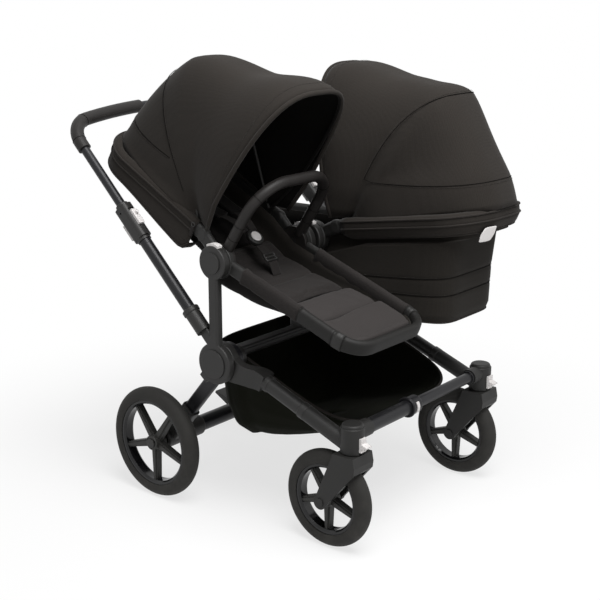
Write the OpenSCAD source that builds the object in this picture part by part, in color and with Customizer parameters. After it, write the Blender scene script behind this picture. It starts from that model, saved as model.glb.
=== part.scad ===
// Twin pram: a forward seat and a carrycot side by side on one folding frame
// +Z is up, the front faces -Y, the seat is on the -X side and the carrycot on the +X side
// Lengths are millimetres, angles are degrees

/* [Layout] */
// Distance between the front and rear axles
wheelbase = 526; // [500:1:560]
// Distance between the middles of the rear wheels
rear_track = 694; // [688:1:720]
// Distance between the middles of the front wheels
front_track = 564; // [548:1:576]
// Offset of the wheelbase middle from the origin
fore_aft = -72.5; // [-100:0.1:-50]
// Distance of the hinge hub behind the wheelbase middle
hub_back = 44; // [30:1:60]
// Height of the hinge hub above the floor
hub_z = 409; // [400:1:425]
// Height of the carrier pivot above the hub
post_rise = 254; // [240:1:275]
// Inner face of each outer post, from the centre plane
post_in = 331; // [327:1:336]

/* [Wheels] */
// Outer diameter of a rear tyre
rear_wheel_d = 296; // [280:1:310]
// Outer diameter of a front tyre
front_wheel_d = 244; // [230:1:250]
// Width of a tyre
tyre_w = 44; // [38:1:46]
// Depth of a tyre from tread to rim seat
tyre_h = 33; // [28:1:38]
// Diameter of a wheel hub
wheel_hub_d = 40; // [34:1:46]
// Length of a wheel hub
wheel_hub_l = 40; // [36:1:42]
// Diameter of the axle pins
axle_d = 12; // [8:1:14]
// Number of spokes in a wheel
spokes = 5; // [4:1:7]
// Distance of the front axle behind the swivel axis
trail = 67; // [60:1:72]

/* [Posts and hub] */
// Thickness of a post across the pram
post_t = 22; // [18:1:24]
// Depth of a post along the pram
post_d = 31; // [26:1:36]
// Diameter of the hub shell
hub_d = 104; // [98:1:112]
// Thickness of each hinge lug at the hub
lug_t = 22; // [18:1:24]
// Diameter of the hinge lugs at the hub
lug_d = 84; // [76:1:92]
// Diameter of the hub pin
hub_pin_d = 16; // [12:1:20]
// Diameter of the pivot heads on the posts
head_d = 84; // [78:1:92]
// Diameter of the pivot stubs that carry seat and carrycot
stub_d = 20; // [16:1:24]
// Thickness of one centre post
mid_t = 20; // [16:1:22]
// Space between the two centre posts
mid_gap = 13.4; // [10:0.1:16]
// Height of the cross beam
beam_h = 26; // [22:1:30]
// Depth of the cross beam along the pram
beam_d = 32; // [26:1:36]
// Fit clearance on a turning pin, on the radius
run_fit = 0.05; // [0.02:0.01:0.1]
// Gap between parts that pass each other
gap = 0.4; // [0.3:0.05:0.6]

/* [Handle] */
// Slope of the handle tubes
handle_angle = 44.5; // [40:0.5:48]
// Height of the handle line above the hub, at the hub
handle_lift = 43; // [38:1:48]
// Distance of the handle tubes outside the post middle
handle_out = 5; // [4:0.5:7]
// Diameter of the lower handle tubes
sleeve_d = 31; // [29:1:33]
// Diameter of the sliding upper tube
tube_d = 24; // [20:1:25]
// Length of the lower tubes along the handle line
sleeve_end = 352; // [340:1:365]
// Where the clamp housings start along the handle line
clamp_start = 338; // [330:1:345]
// Length of a clamp housing
clamp_l = 100; // [90:1:110]
// Height of the handlebar along the handle line
bar_s = 750; // [735:1:765]
// Bend radius at the handlebar corners
elbow_r = 80; // [60:1:95]
// How far each corner turns
elbow_turn = 80; // [76:1:84]
// Diameter of the grips
grip_d = 35; // [32:1:38]
// Length of bare tube in the middle of the handlebar
bar_bare = 156; // [120:1:200]

/* [Front frame] */
// Slope of the front arms
front_slope = 20.5; // [18:0.5:22]
// Diameter of the front arm tubes
arm_tube_d = 36; // [32:1:38]
// Diameter of the caster housings
caster_d = 58; // [54:1:62]
// Height of a caster housing
caster_h = 64; // [58:1:70]
// Height of the joint between housing and fork above the floor
caster_z = 257; // [253:1:262]
// Height of the front cross tube above the caster joint
cross_rise = 46; // [42:1:50]
// Diameter of the outer front cross tube
cross_d = 36; // [32:1:38]
// Diameter of the inner front cross tube
cross_in_d = 28; // [24:1:30]
// Diameter of the swivel stems
stem_d = 22; // [18:1:26]
// Thickness of a fork arm
fork_t = 12; // [10:1:13]

/* [Rear frame] */
// Width of the rear legs
leg_w = 38; // [34:1:42]
// Diameter of the rear cross tube
rear_cross_d = 44; // [40:1:46]
// Width of the brake pedal
pedal_w = 90; // [70:1:110]

/* [Carriers] */
// Tilt of the seat, head end up
seat_tilt = 20; // [15:1:22]
// Tilt of the carrycot, head end up
cot_tilt = 1; // [0:1:3]
// Width of the carrier frame tube
arm_w = 20; // [18:1:21]
// Height of the carrier frame tube
arm_h = 36; // [32:1:38]
// Length of the carrier frame from the pivot to the foot end
foot_len = 434; // [420:1:445]
// Length of the carrier frame from the bend to the head end
head_len = 408; // [395:1:415]
// Distance from the pivot to the bend in the head arms
bend_len = 80; // [72:1:88]
// Slope of the head arms at the pivot
bend_angle = 25; // [22:1:28]
// Slope of the head loop
head_angle = 8; // [6:1:10]
// Corner radius at the foot end
foot_r = 60; // [50:1:70]
// Corner radius at the head end
head_r = 105; // [90:1:115]
// Half width of the fabric tubs between the frame arms
tub_hw = 119; // [112:1:119]
// Depth of the carrycot tub below the pivot
cot_depth = 186; // [170:1:200]
// Height of the bumper bar above the pivot
bumper_rise = 231; // [220:1:250]
// Lean of the bumper bar from upright, towards the foot end
bumper_lean = 13; // [8:1:18]
// Diameter of the bumper bar
bumper_d = 28; // [24:1:28]

/* [Canopies] */
// Half width of a canopy
hood_hw = 142; // [136:1:146]
// Half width of each canopy at its front brim
brim_hw = 170; // [150:1:172]
// Squareness of a canopy arch
hood_square = 3.2; // [2.6:0.1:4]
// Thickness of a canopy cover
hood_t = 4; // [3:0.5:6]
// Diameter of the canopy bows
bow_d = 8; // [6:0.5:8]
// Reach of the seat canopy at its back edge
seat_back_r = 388; // [375:1:395]
// Reach of the seat canopy at its rear bow
seat_rear_r = 412; // [400:1:420]
// Reach of the seat canopy midway between its bows
seat_sag_r = 379; // [370:1:395]
// Reach of the seat canopy at its front bow
seat_front_r = 432; // [420:1:440]
// Angle of the seat's rear bow above the frame plane
seat_rear_a = 57; // [52:1:62]
// Angle of the seat's front bow above the frame plane
seat_front_a = 109; // [104:1:114]
// Reach of the carrycot canopy at its back edge
cot_back_r = 402; // [390:1:410]
// Reach of the carrycot canopy at its rear bow
cot_rear_r = 431; // [420:1:440]
// Reach of the carrycot canopy midway between its bows
cot_sag_r = 388; // [380:1:400]
// Reach of the carrycot canopy at its front bow
cot_front_r = 417; // [408:1:425]
// Angle of the carrycot's rear bow above the frame plane
cot_rear_a = 53; // [48:1:58]
// Angle of the carrycot's front bow above the frame plane
cot_front_a = 103; // [95:1:106]
// Depth of the seat's fabric edge below its frame tube
seat_edge = 26; // [18:1:30]
// Depth of the carrycot's fabric edge below its frame tube
cot_edge = 15; // [8:1:16]
// Thickness of the fabric edges round the frame tubes
edge_t = 3; // [2:0.5:4]
// How far a canopy draws in between its back edge and rear bow
hood_draw = 14; // [6:1:20]

/* [Hidden] */
$fn = 64;

charcoal = [0.16, 0.16, 0.16];
anodised = [0.10, 0.10, 0.12];
cloth = [0.13, 0.12, 0.12];
pale = [0.86, 0.84, 0.83];
rubber = [0.17, 0.17, 0.16];
gloss = [0.05, 0.05, 0.05];
RIGHT = -1;
LEFT = 1;

// Main places along the pram
hub_y = fore_aft + hub_back;
front_axle_y = fore_aft - wheelbase / 2;
rear_axle_y = fore_aft + wheelbase / 2;
caster_y = front_axle_y - trail;
front_axle_z = front_wheel_d / 2;
rear_axle_z = rear_wheel_d / 2;
pivot_z = hub_z + post_rise;
caster_x = front_track / 2;
wheel_x = rear_track / 2;

// Layers at the hub, from the post inwards
tube_x = post_in + post_t / 2;
handle_x = tube_x + handle_out;
front_lug_in = post_in - gap - lug_t;
leg_in = front_lug_in - gap - lug_t;
beam_end = leg_in - gap;
leg_x = leg_in + lug_t / 2;

// Layers at the carrier pivots
mid_out = mid_gap / 2 + mid_t;
carrier_x = (post_in + mid_out) / 2;
arm_out = (post_in - mid_out) / 2 - gap;
disc_t = 22.5;
arm_in = arm_out - disc_t;
arm_hw = arm_in + arm_w / 2;
ear_t = 10;
ear_d = head_d - 2;

// Shared outlines and shapes
module on_side(side) {
  if (side == LEFT) children();
  else mirror([1, 0, 0]) children();
}

module round_rect(w, h, r) {
  square([w - 2 * r, h], center = true);
  square([w, h - 2 * r], center = true);
  for (i = [-1, 1], j = [-1, 1]) translate([i * (w / 2 - r), j * (h / 2 - r)]) circle(r);
}

module stadium(w, h) {
  square([w, h - w], center = true);
  for (k = [-1, 1]) translate([0, k * (h - w) / 2]) circle(d = w);
}

module puck(d, h, r) {
  rotate_extrude() {
    square([d / 2 - r, h]);
    translate([0, r]) square([d / 2, h - 2 * r]);
    for (k = [r, h - r]) translate([d / 2 - r, k]) circle(r);
  }
}

module along_x(x, y, z) {
  translate([x, y, z]) rotate([0, 90, 0]) children();
}

// Rings of equal point count joined to one closed solid, ends closed as a fan
module skin(rings) {
  n = len(rings[0]);
  m = len(rings);
  walls = [
    for (i = [0:m - 2], j = [0:n - 1])
      let (a = i * n + j, b = i * n + (j + 1) % n) each [[a, b + n, b], [a, a + n, b + n]],
  ];
  low = [for (j = [1:n - 2]) [0, j, j + 1]];
  top = [for (j = [1:n - 2]) [(m - 1) * n, (m - 1) * n + j + 1, (m - 1) * n + j]];
  polyhedron(points = [for (r = rings) each r], faces = concat(walls, low, top), convexity = 8);
}

// Rings whose first half is the outer wall and second half the inner wall, walked back
module sheet_skin(rings) {
  n = len(rings[0]);
  h = n / 2;
  m = len(rings);
  walls = [
    for (i = [0:m - 2], j = [0:n - 1])
      let (a = i * n + j, b = i * n + (j + 1) % n) each [[a, b, b + n], [a, b + n, a + n]],
  ];
  low = [for (j = [0:h - 2]) each [[j, n - 2 - j, j + 1], [j, n - 1 - j, n - 2 - j]]];
  last = (m - 1) * n;
  top = [
    for (j = [0:h - 2])
      each [[last + j, last + j + 1, last + n - 2 - j], [last + j, last + n - 2 - j, last + n - 1 - j]],
  ];
  polyhedron(points = [for (r = rings) each r], faces = concat(walls, low, top), convexity = 8);
}

function power(v, p) = sign(v) * pow(abs(v), p);

// Posts, hub and beam
socket_d = 39;
socket_start = 48;
socket_end = 116;
boss_d = 58;
button_l = 36;
button_h = 18;
button_travel = 4;

module on_handle(s) {
  translate([handle_x, hub_y, hub_z + handle_lift]) rotate([handle_angle - 90, 0, 0]) {
    translate([0, 0, s]) children();
  }
}

module release_pocket(x, t) {
  w = t - 6;
  floor_z = pivot_z + head_d / 2 - button_h + 6 - button_travel - gap;
  translate([x - w / 2 - gap, hub_y - button_l / 2 - gap, floor_z]) {
    cube([w + 2 * gap, button_l + 2 * gap, button_h * 2]);
  }
}

module pivot_head(x, t, out) {
  along_x(x, hub_y, pivot_z) puck(head_d, t, 4);
  along_x(out > 0 ? x + t : x - 3, hub_y, pivot_z) cylinder(d = head_d * 0.62, h = 3);
}

module post(side) {
  color(charcoal) on_side(side) difference() {
    union() {
      along_x(post_in, hub_y, hub_z) puck(hub_d, post_t, 5);
      translate([tube_x, hub_y, hub_z]) linear_extrude(post_rise) round_rect(post_t, post_d, 7);
      translate([post_in, hub_y, hub_z]) rotate([90, 0, 90]) linear_extrude(post_t) chin();
      pivot_head(post_in, post_t, 1);
      along_x(post_in - gap - disc_t, hub_y, pivot_z) cylinder(d = stub_d, h = disc_t + 2 * gap);
      on_handle(-20) translate([-handle_out, 0, 0]) linear_extrude(socket_end + 20) round_rect(post_t, post_d, 7);
      on_handle(socket_start) cylinder(d = socket_d, h = socket_end - socket_start);
      on_handle(socket_end - 14) puck(socket_d + 5, 14, 3);
    }
    along_x(post_in - 1, hub_y, hub_z) cylinder(d = hub_pin_d, h = post_t + 2);
    on_handle(socket_start + 8) cylinder(d = sleeve_d, h = socket_end);
    release_pocket(tube_x, post_t);
  }
}

// Lower chin of the hub shell that leads into the rear leg
module chin() {
  rotate(leg_angle) translate([hub_d * 0.3, -13]) square([hub_d * 0.26, 26]);
}

leg_angle = atan2(rear_axle_z - hub_z, rear_axle_y - hub_y);

module centre_posts() {
  color(charcoal) for (side = [RIGHT, LEFT]) on_side(side) difference() {
    union() {
      translate([mid_gap / 2 + mid_t / 2, hub_y, hub_z + beam_h]) {
        linear_extrude(post_rise - beam_h) round_rect(mid_t, post_d, 6);
      }
      along_x(mid_gap / 2, hub_y, pivot_z) puck(head_d, mid_t, 4);
      along_x(mid_out - gap, hub_y, pivot_z) cylinder(d = stub_d, h = disc_t + 2 * gap);
    }
    release_pocket(mid_gap / 2 + mid_t / 2, mid_t);
  }
}

module centre_beam() {
  color(charcoal) difference() {
    union() {
      for (side = [RIGHT, LEFT]) on_side(side) {
        along_x(beam_end - 24, hub_y, hub_z) puck(boss_d, 24, 4);
      }
      translate([-(beam_end - 6), hub_y, hub_z + beam_h / 2]) rotate([90, 0, 90]) {
        linear_extrude(2 * (beam_end - 6)) beam_section();
      }
      translate([0, hub_y, hub_z + beam_h]) {
        translate([0, 0, -4]) linear_extrude(20) round_rect(2 * mid_out + 24, post_d + 16, 8);
      }
    }
    for (side = [RIGHT, LEFT]) on_side(side) {
      along_x(beam_end - 25, hub_y, hub_z) cylinder(d = hub_pin_d, h = 26);
      translate([mid_gap / 2 + mid_t / 2, hub_y, hub_z + beam_h]) linear_extrude(40) {
        round_rect(mid_t, post_d, 6);
      }
    }
  }
}

// Beam with two long grooves in its front face
module beam_section() {
  difference() {
    round_rect(beam_d, beam_h, 6);
    for (k = [-1, 1]) translate([-beam_d / 2, k * 5]) square([5, 3], center = true);
  }
}

module hub_pins() {
  color(charcoal) for (side = [RIGHT, LEFT]) on_side(side) {
    along_x(post_in + post_t, hub_y, hub_z) puck(hub_d * 0.71, 3, 1);
    along_x(beam_end - 24, hub_y, hub_z) {
      cylinder(d = hub_pin_d, h = post_in + post_t - beam_end + 24);
    }
  }
}

// Handle: fixed lower tubes, clamp housings and the sliding bar
clamp_w = 36;
clamp_front = -22;
clamp_back = 23;
slider_l = 44;
slider_w = 17;
slider_h = 9;
slider_travel = 8;
lever_l = 46;
lever_w = 20;
socket_hole_r = 3;
socket_hole_l = 5.5;
socket_hole_s = 84;

module lower_tube(side) {
  color(anodised) on_side(side) difference() {
    on_handle(socket_start + 8) cylinder(d = sleeve_d, h = sleeve_end - socket_start - 8);
    on_handle(socket_start) cylinder(r = tube_d / 2 + run_fit, h = sleeve_end);
  }
}

module clamp_section() {
  translate([0, (clamp_front + clamp_back) / 2]) round_rect(clamp_w, clamp_back - clamp_front, 13);
}

module clamp_housing(side) {
  color(charcoal) on_side(side) difference() {
    union() {
      on_handle(clamp_start) linear_extrude(clamp_l) clamp_section();
      on_handle(clamp_start - 8) cylinder(d = clamp_w, h = 10);
      on_handle(clamp_start + clamp_l - 1) puck(clamp_w - 2, 9, 3);
    }
    on_handle(0) cylinder(r = tube_d / 2 + run_fit, h = 2 * sleeve_end);
    on_handle(clamp_start - 20) cylinder(d = sleeve_d, h = sleeve_end - clamp_start + 20);
    on_handle(clamp_start + 38) lever_shape(gap);
    on_handle(clamp_start + 30) slider_slot();
    on_handle(clamp_start + socket_hole_s) translate([clamp_w / 2, 2, 0]) rotate([0, -90, 0]) {
      translate([0, 0, -1]) cylinder(r = socket_hole_r, h = socket_hole_l + 1);
    }
  }
}

// Half-oval lever let into the back of the housing
module lever_shape(grow) {
  along_x(-lever_w / 2 - grow, clamp_back + 6, 0) linear_extrude(lever_w + 2 * grow) {
    intersection() {
      scale(1) circle(r = lever_l / 2 + grow);
      translate([-lever_l, -9 - grow]) square([2 * lever_l, 9 + 2 * grow]);
    }
  }
}

module height_lever(side) {
  color(pale) on_side(side) on_handle(clamp_start + 38) lever_shape(0);
}

module slider_slot() {
  translate([-slider_w / 2 - gap, clamp_front - slider_h, -gap]) {
    cube([slider_w + 2 * gap, slider_h + 3, slider_l + slider_travel + 2 * gap]);
  }
}

module fold_slider(side) {
  color(pale) on_side(side) on_handle(clamp_start + 30) {
    translate([-slider_w / 2, clamp_front + 3 - slider_h - gap, 0]) cube([slider_w, slider_h, slider_l]);
    translate([0, clamp_front + 3 - slider_h - gap, slider_l * 0.7]) rotate([90, 0, 0]) {
      translate([0, 0, -1]) cylinder(d = 8, h = 8);
    }
  }
}

// Bar arc that joins the two elbows, as a radius about a centre below the bar
bar_r = (handle_x - elbow_r * (1 - cos(elbow_turn))) / cos(elbow_turn);
elbow_s = bar_s - bar_r * (1 - sin(elbow_turn)) - elbow_r * sin(elbow_turn);
grip_end_a = acos(bar_bare / 2 / bar_r);
tube_low_s = 236;

module elbow(profile_d, hole_d) {
  on_handle(elbow_s) translate([-elbow_r, 0, 0]) rotate([90, 0, 0]) {
    rotate_extrude(angle = elbow_turn) translate([elbow_r, 0]) ring(profile_d, hole_d);
  }
}

module bar_arc(profile_d, hole_d, from_a, to_a) {
  on_handle(bar_s - bar_r) translate([-handle_x, 0, 0]) rotate([90, 0, 0]) rotate(from_a) {
    rotate_extrude(angle = to_a - from_a, $fn = 480) translate([bar_r, 0]) ring(profile_d, hole_d, $fn = 64);
  }
}

module ring(outer_d, hole_d) {
  difference() {
    circle(d = outer_d);
    if (hole_d > 0) circle(d = hole_d);
  }
}

module handlebar_tube() {
  color(anodised) {
    for (side = [RIGHT, LEFT]) on_side(side) {
      difference() {
        on_handle(tube_low_s) cylinder(d = tube_d, h = elbow_s - tube_low_s + 2);
        on_handle(tube_low_s - 1) cylinder(d = tube_d - 5, h = elbow_s - tube_low_s - 20);
      }
      elbow(tube_d - 0.6, 0);
    }
    bar_arc(tube_d, 0, elbow_turn - 0.1, 180.1 - elbow_turn);
  }
}

module grip(side) {
  hole = tube_d + 2 * run_fit;
  color(charcoal) on_side(side) {
    on_handle(elbow_s - 16) linear_extrude(16) ring(grip_d, hole);
    elbow(grip_d, hole);
    bar_arc(grip_d, hole, elbow_turn, grip_end_a);
  }
}

module release_button(x, t) {
  w = t - 6;
  bottom = pivot_z + head_d / 2 - button_h + 6;
  color(pale) translate([x, hub_y, bottom]) rotate([90, 0, 90]) translate([0, 0, -w / 2]) {
    linear_extrude(w) {
      translate([-button_l / 2, 0]) square([button_l, button_h - 6]);
      translate([0, button_h - 6]) intersection() {
        translate([0, -30]) circle(r = 36);
        translate([-button_l / 2, -1]) square([button_l, 10]);
      }
    }
  }
}

// Front frame
collar_1 = 112;
collar_2 = 236;
neck_start = 48;

module on_front_arm(s) {
  translate([0, hub_y, hub_z]) rotate([90 + front_slope, 0, 0]) translate([0, 0, s]) children();
}

arm_reach = (hub_y - caster_y) / cos(front_slope);

// Neck that swings in from the hub lug to the tube line, seen from above
function swing(s) = let (k = min(1, max(0, (s - neck_start) / (collar_1 - neck_start)))) k * k * (3 - 2 * k);
function neck_out(s) = post_in - gap - swing(s) * (post_in - gap - caster_x - arm_tube_d / 2 - 2);
function neck_in(s) = front_lug_in - swing(s) * (front_lug_in - caster_x + arm_tube_d / 2 + 2);

module neck_plan() {
  steps = 14;
  reach = [for (i = [0:steps]) i * (collar_1 + 6) / steps];
  polygon(concat(
    [for (s = reach) [s, neck_out(s)]],
    [for (i = [0:steps]) let (s = reach[steps - i]) [s, neck_in(s)]]
  ));
}

module neck_side() {
  difference() {
    polygon([[0, 40], [collar_1 + 6, 21], [collar_1 + 6, -21], [0, -40]]);
    for (k = [-1, 1]) translate([80, k * 152]) circle(r = 127);
  }
}

module front_arm(side) {
  color(charcoal) on_side(side) difference() {
    union() {
      along_x(front_lug_in, hub_y, hub_z) puck(hub_d - 6, lug_t, 3);
      intersection() {
        on_front_arm(0) translate([0, 60, 0]) rotate([90, 0, 0]) linear_extrude(120) {
          rotate(90) mirror([0, 1]) neck_plan();
        }
        on_front_arm(0) rotate([0, 90, 0]) linear_extrude(post_in) rotate(180) neck_side();
      }
      on_front_arm(collar_1) translate([caster_x, 0, 0]) {
        cylinder(d = arm_tube_d, h = arm_reach - collar_1 - caster_d / 2 - 4);
        puck(arm_tube_d + 5, 20, 3);
      }
      on_front_arm(collar_2) translate([caster_x, 0, 0]) puck(arm_tube_d + 5, 20, 3);
    }
    along_x(front_lug_in - 1, hub_y, hub_z) cylinder(r = hub_pin_d / 2 + run_fit, h = lug_t + 2);
  }
}

stub_l = 58;
lock_w = 20;
lock_h = 34;
lock_t = 7;
lock_drop = 6;

module caster_housing(side) {
  color(charcoal) on_side(side) difference() {
    union() {
      translate([caster_x, caster_y, caster_z]) {
        puck(caster_d, caster_h, 3);
        translate([0, 0, caster_h - 6]) puck(caster_d - 6, 14, 6);
        rotate([0, -90, 0]) translate([cross_rise, 0, 0]) cylinder(d = cross_d + 6, h = stub_l);
      }
      on_front_arm(collar_2 + 20) translate([caster_x, 0, 0]) {
        cylinder(d = arm_tube_d + 4, h = arm_reach - collar_2 - 20);
      }
    }
    on_front_arm(collar_1) translate([caster_x, 0, 0]) {
      cylinder(d = arm_tube_d, h = arm_reach - collar_1 - caster_d / 2 - 4);
    }
    translate([caster_x, caster_y, caster_z - 1]) {
      cylinder(r = stem_d / 2 + run_fit, h = caster_h - 12);
    }
    translate([0, 0, caster_z - 200 - 0.01]) translate([caster_x, caster_y, 0]) cylinder(d = 200, h = 200);
    translate([caster_x, caster_y, caster_z + cross_rise]) rotate([0, -90, 0]) {
      translate([0, 0, 34]) cylinder(d = cross_d, h = stub_l);
    }
    translate([caster_x - lock_w / 2 - gap, caster_y - caster_d / 2 - 10, caster_z + 8 - lock_drop - gap]) {
      cube([lock_w + 2 * gap, 10 + lock_t, lock_h + lock_drop + 2 * gap]);
    }
  }
}

// White swivel lock with a beak for the toe
module swivel_lock(side) {
  color(pale) on_side(side) translate([caster_x - lock_w / 2, caster_y - caster_d / 2, caster_z + 8]) {
    translate([0, lock_t - 4 - lock_t, 0]) cube([lock_w, lock_t + 3 - gap + 1, lock_h]);
    translate([0, -4, 6]) rotate([90, 0, 90]) linear_extrude(lock_w) {
      polygon([[0, 0], [-15, 7], [-15, 10], [0, 15]]);
    }
  }
}

collar_x = -44;
collar_l = 40;
collar_d = cross_d + 10;

module cross_at(x) {
  along_x(x, caster_y, caster_z + cross_rise) children();
}

module front_cross_tube() {
  end = caster_x - 34;
  color(anodised) difference() {
    union() {
      cross_at(-end) cylinder(d = cross_d, h = end + collar_x);
      cross_at(collar_x) cylinder(d = cross_in_d, h = end - collar_x - 30);
      cross_at(end - 30) cylinder(d = cross_d, h = 30);
      cross_at(collar_x - 22) puck(cross_d + 16, 8, 3);
      cross_at(collar_x - 20) puck(collar_d, collar_l, 4);
    }
    cross_at(-end - 1) cylinder(d = cross_in_d, h = end + collar_x - 40);
    lock_button_block(gap, lock_press);
  }
}

button_w = 10;
lock_press = 3;

// Strip button on the front of the collar
module lock_button_block(grow, deep) {
  translate([collar_x - 6, caster_y - collar_d / 2 - 2, caster_z + cross_rise]) {
    translate([-grow, 0, -14 - grow]) cube([button_w + 2 * grow, 7 + deep, 28 + 2 * grow]);
  }
}

module width_lock_button() {
  color(pale) intersection() {
    lock_button_block(0, 0);
    cross_at(collar_x - 20) cylinder(d = collar_d + 4, h = collar_l);
  }
}

// Fork with stem, crown arched over the tyre, two arms and the axle
module fork(side) {
  arm_gap = tyre_w / 2 + 4;
  color(charcoal) on_side(side) translate([caster_x, 0, 0]) {
    difference() {
      union() {
        translate([0, caster_y, caster_z - gap - 32]) puck(caster_d - 1, 32, 2);
        along_x(-arm_gap - fork_t, 0, 0) rotate(90) linear_extrude(2 * (arm_gap + fork_t)) {
          fork_side();
        }
      }
      along_x(-arm_gap, front_axle_y, front_axle_z) cylinder(d = front_wheel_d + 14, h = 2 * arm_gap);
      translate([-200, caster_y - 150, caster_z - gap]) cube([400, 300, 100]);
    }
    translate([0, caster_y, caster_z - gap - 8]) cylinder(d = stem_d, h = caster_h - 16);
    along_x(-arm_gap - 1, front_axle_y, front_axle_z) cylinder(d = axle_d, h = 2 * arm_gap + 2);
    for (k = [0, 1]) mirror([k, 0, 0]) {
      along_x(arm_gap + fork_t, front_axle_y, front_axle_z) puck(22, 3, 1);
    }
  }
}

// Side view of the fork: y runs along the pram, z up
module fork_side() {
  polygon([
    [front_axle_y + 15, front_axle_z + 6],
    [caster_y + 34, caster_z - gap - 14],
    [caster_y + 29, caster_z - gap],
    [caster_y - 29, caster_z - gap],
    [caster_y - 34, caster_z - gap - 24],
    [caster_y - 32, caster_z - gap - 40],
    [front_axle_y - 14, front_axle_z - 9],
  ]);
  translate([front_axle_y, front_axle_z]) circle(r = 18);
}

// Wheels, drawn about their own centre with the axle along X
module tyre(d) {
  rim_r = d / 2 - tyre_h;
  color(rubber) rotate([0, 90, 0]) rotate_extrude() difference() {
    translate([d / 2 - tyre_w / 2, 0]) circle(d = tyre_w);
    translate([0, -tyre_w]) square([rim_r, 2 * tyre_w]);
  }
}

module wheel(d) {
  rim_r = d / 2 - tyre_h - gap;
  half = tyre_w / 2 - 5;
  color(gloss) rotate([0, 90, 0]) difference() {
    union() {
      rotate_extrude() {
        polygon([
          [rim_r - 10, -half + 5], [rim_r - 6, -half], [rim_r, -half],
          [rim_r, half], [rim_r - 6, half], [rim_r - 10, half - 5],
        ]);
      }
      translate([0, 0, -wheel_hub_l / 2]) puck(wheel_hub_d, wheel_hub_l, 3);
      for (i = [0:spokes - 1]) rotate(i * 360 / spokes) {
        translate([0, 0, -8]) linear_extrude(16) spoke(rim_r - 8, 10.5, 7);
        translate([0, 0, -11]) linear_extrude(22) spoke(rim_r - 7, 6, 3);
      }
    }
    cylinder(r = axle_d / 2 + run_fit, h = 2 * wheel_hub_l, center = true);
    for (i = [0:2], k = [0, 1]) mirror([0, 0, k]) rotate(i * 120) {
      translate([13, 0, wheel_hub_l / 2 - 3]) cylinder(d = 7, h = 5);
    }
  }
}

module spoke(reach, root, tip) {
  polygon([[8, -root], [reach, -tip], [reach, tip], [8, root]]);
}

module at_front_wheel(side) {
  translate([side * caster_x, front_axle_y, front_axle_z]) children();
}

module at_rear_wheel(side) {
  translate([side * wheel_x, rear_axle_y, rear_axle_z]) children();
}

// Rear frame
leg_len = norm([rear_axle_y - hub_y, rear_axle_z - hub_z]);
sleeve_back = 128;

module leg_profile(w, from, to) {
  rotate(leg_angle) translate([from, -w / 2]) square([to - from, w]);
}

module rear_leg(side) {
  color(anodised) on_side(side) difference() {
    union() {
      along_x(leg_in, hub_y, hub_z) puck(lug_d, lug_t, 3);
      translate([leg_x, hub_y, hub_z]) rotate([leg_angle - 90, 0, 0]) {
        linear_extrude(leg_len - 62) round_rect(lug_t - 1, leg_w, 8);
      }
    }
    along_x(leg_in - 1, hub_y, hub_z) cylinder(r = hub_pin_d / 2 + run_fit, h = lug_t + 2);
  }
}

bracket_in = 190;
bracket_out = wheel_x - wheel_hub_l / 2 - 3;

module axle_bracket(side) {
  color(charcoal) on_side(side) difference() {
    union() {
      translate([leg_x, hub_y, hub_z]) rotate([leg_angle - 90, 0, 0]) {
        translate([0, 0, leg_len - sleeve_back]) linear_extrude(sleeve_back) round_rect(lug_t + 10, leg_w + 8, 9);
      }
      along_x(bracket_in, rear_axle_y, rear_axle_z) puck(rear_cross_d + 12, bracket_out - bracket_in, 4);
      along_x(bracket_out - 1, rear_axle_y, rear_axle_z) puck(46, 3, 1);
    }
    translate([leg_x, hub_y, hub_z]) rotate([leg_angle - 90, 0, 0]) {
      linear_extrude(leg_len - 62) round_rect(lug_t - 1, leg_w, 8);
    }
    along_x(bracket_in - 1, rear_axle_y, rear_axle_z) cylinder(d = rear_cross_d, h = 61);
  }
  color(charcoal) on_side(side) {
    along_x(bracket_out - 4, rear_axle_y, rear_axle_z) cylinder(d = axle_d, h = wheel_hub_l + 9);
    along_x(wheel_x + wheel_hub_l / 2 + gap, rear_axle_y, rear_axle_z) puck(26, 3, 1);
  }
}

module rear_cross_tube() {
  color(anodised) along_x(-bracket_in - 60, rear_axle_y, rear_axle_z) {
    difference() {
      cylinder(d = rear_cross_d, h = 2 * (bracket_in + 60));
      translate([0, 0, -1]) cylinder(d = rear_cross_d - 5, h = 2 * (bracket_in + 60) + 2);
    }
  }
}

// Foot pedal clipped round the rear cross tube
module brake_pedal() {
  color(charcoal) translate([0, rear_axle_y, rear_axle_z]) difference() {
    union() {
      along_x(-pedal_w / 2, 0, 0) puck(rear_cross_d + 12, pedal_w, 3);
      translate([-pedal_w / 2, 10, 8]) rotate([90, 0, 90]) linear_extrude(pedal_w) {
        polygon([[0, 0], [10, 16], [64, 30], [66, 24], [22, 0]]);
      }
    }
    along_x(-pedal_w, 0, 0) cylinder(r = rear_cross_d / 2 + run_fit, h = 2 * pedal_w);
  }
}

// Carrier frames: local y points to the head end, z up from the frame plane, x across
module on_seat() {
  translate([-carrier_x, hub_y, pivot_z]) rotate([seat_tilt, 0, 0]) children();
}

module on_cot() {
  translate([carrier_x, hub_y, pivot_z]) rotate([0, 0, 180]) rotate([cot_tilt, 0, 0]) children();
}

module u_loop(reach, r) {
  for (k = [-1, 1]) translate([k * arm_hw, 0, 0]) rotate([-90, 0, 0]) {
    linear_extrude(reach - r) stadium(arm_w, arm_h);
  }
  for (k = [0, 1]) mirror([k, 0, 0]) translate([arm_hw - r, reach - r, 0]) {
    rotate_extrude(angle = 90) translate([r, 0]) stadium(arm_w, arm_h);
  }
  translate([-(arm_hw - r), reach, 0]) rotate([0, 90, 0]) {
    linear_extrude(2 * (arm_hw - r)) rotate(90) stadium(arm_w, arm_h);
  }
}

bend_y = bend_len * cos(bend_angle);
bend_z = bend_len * sin(bend_angle);

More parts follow.
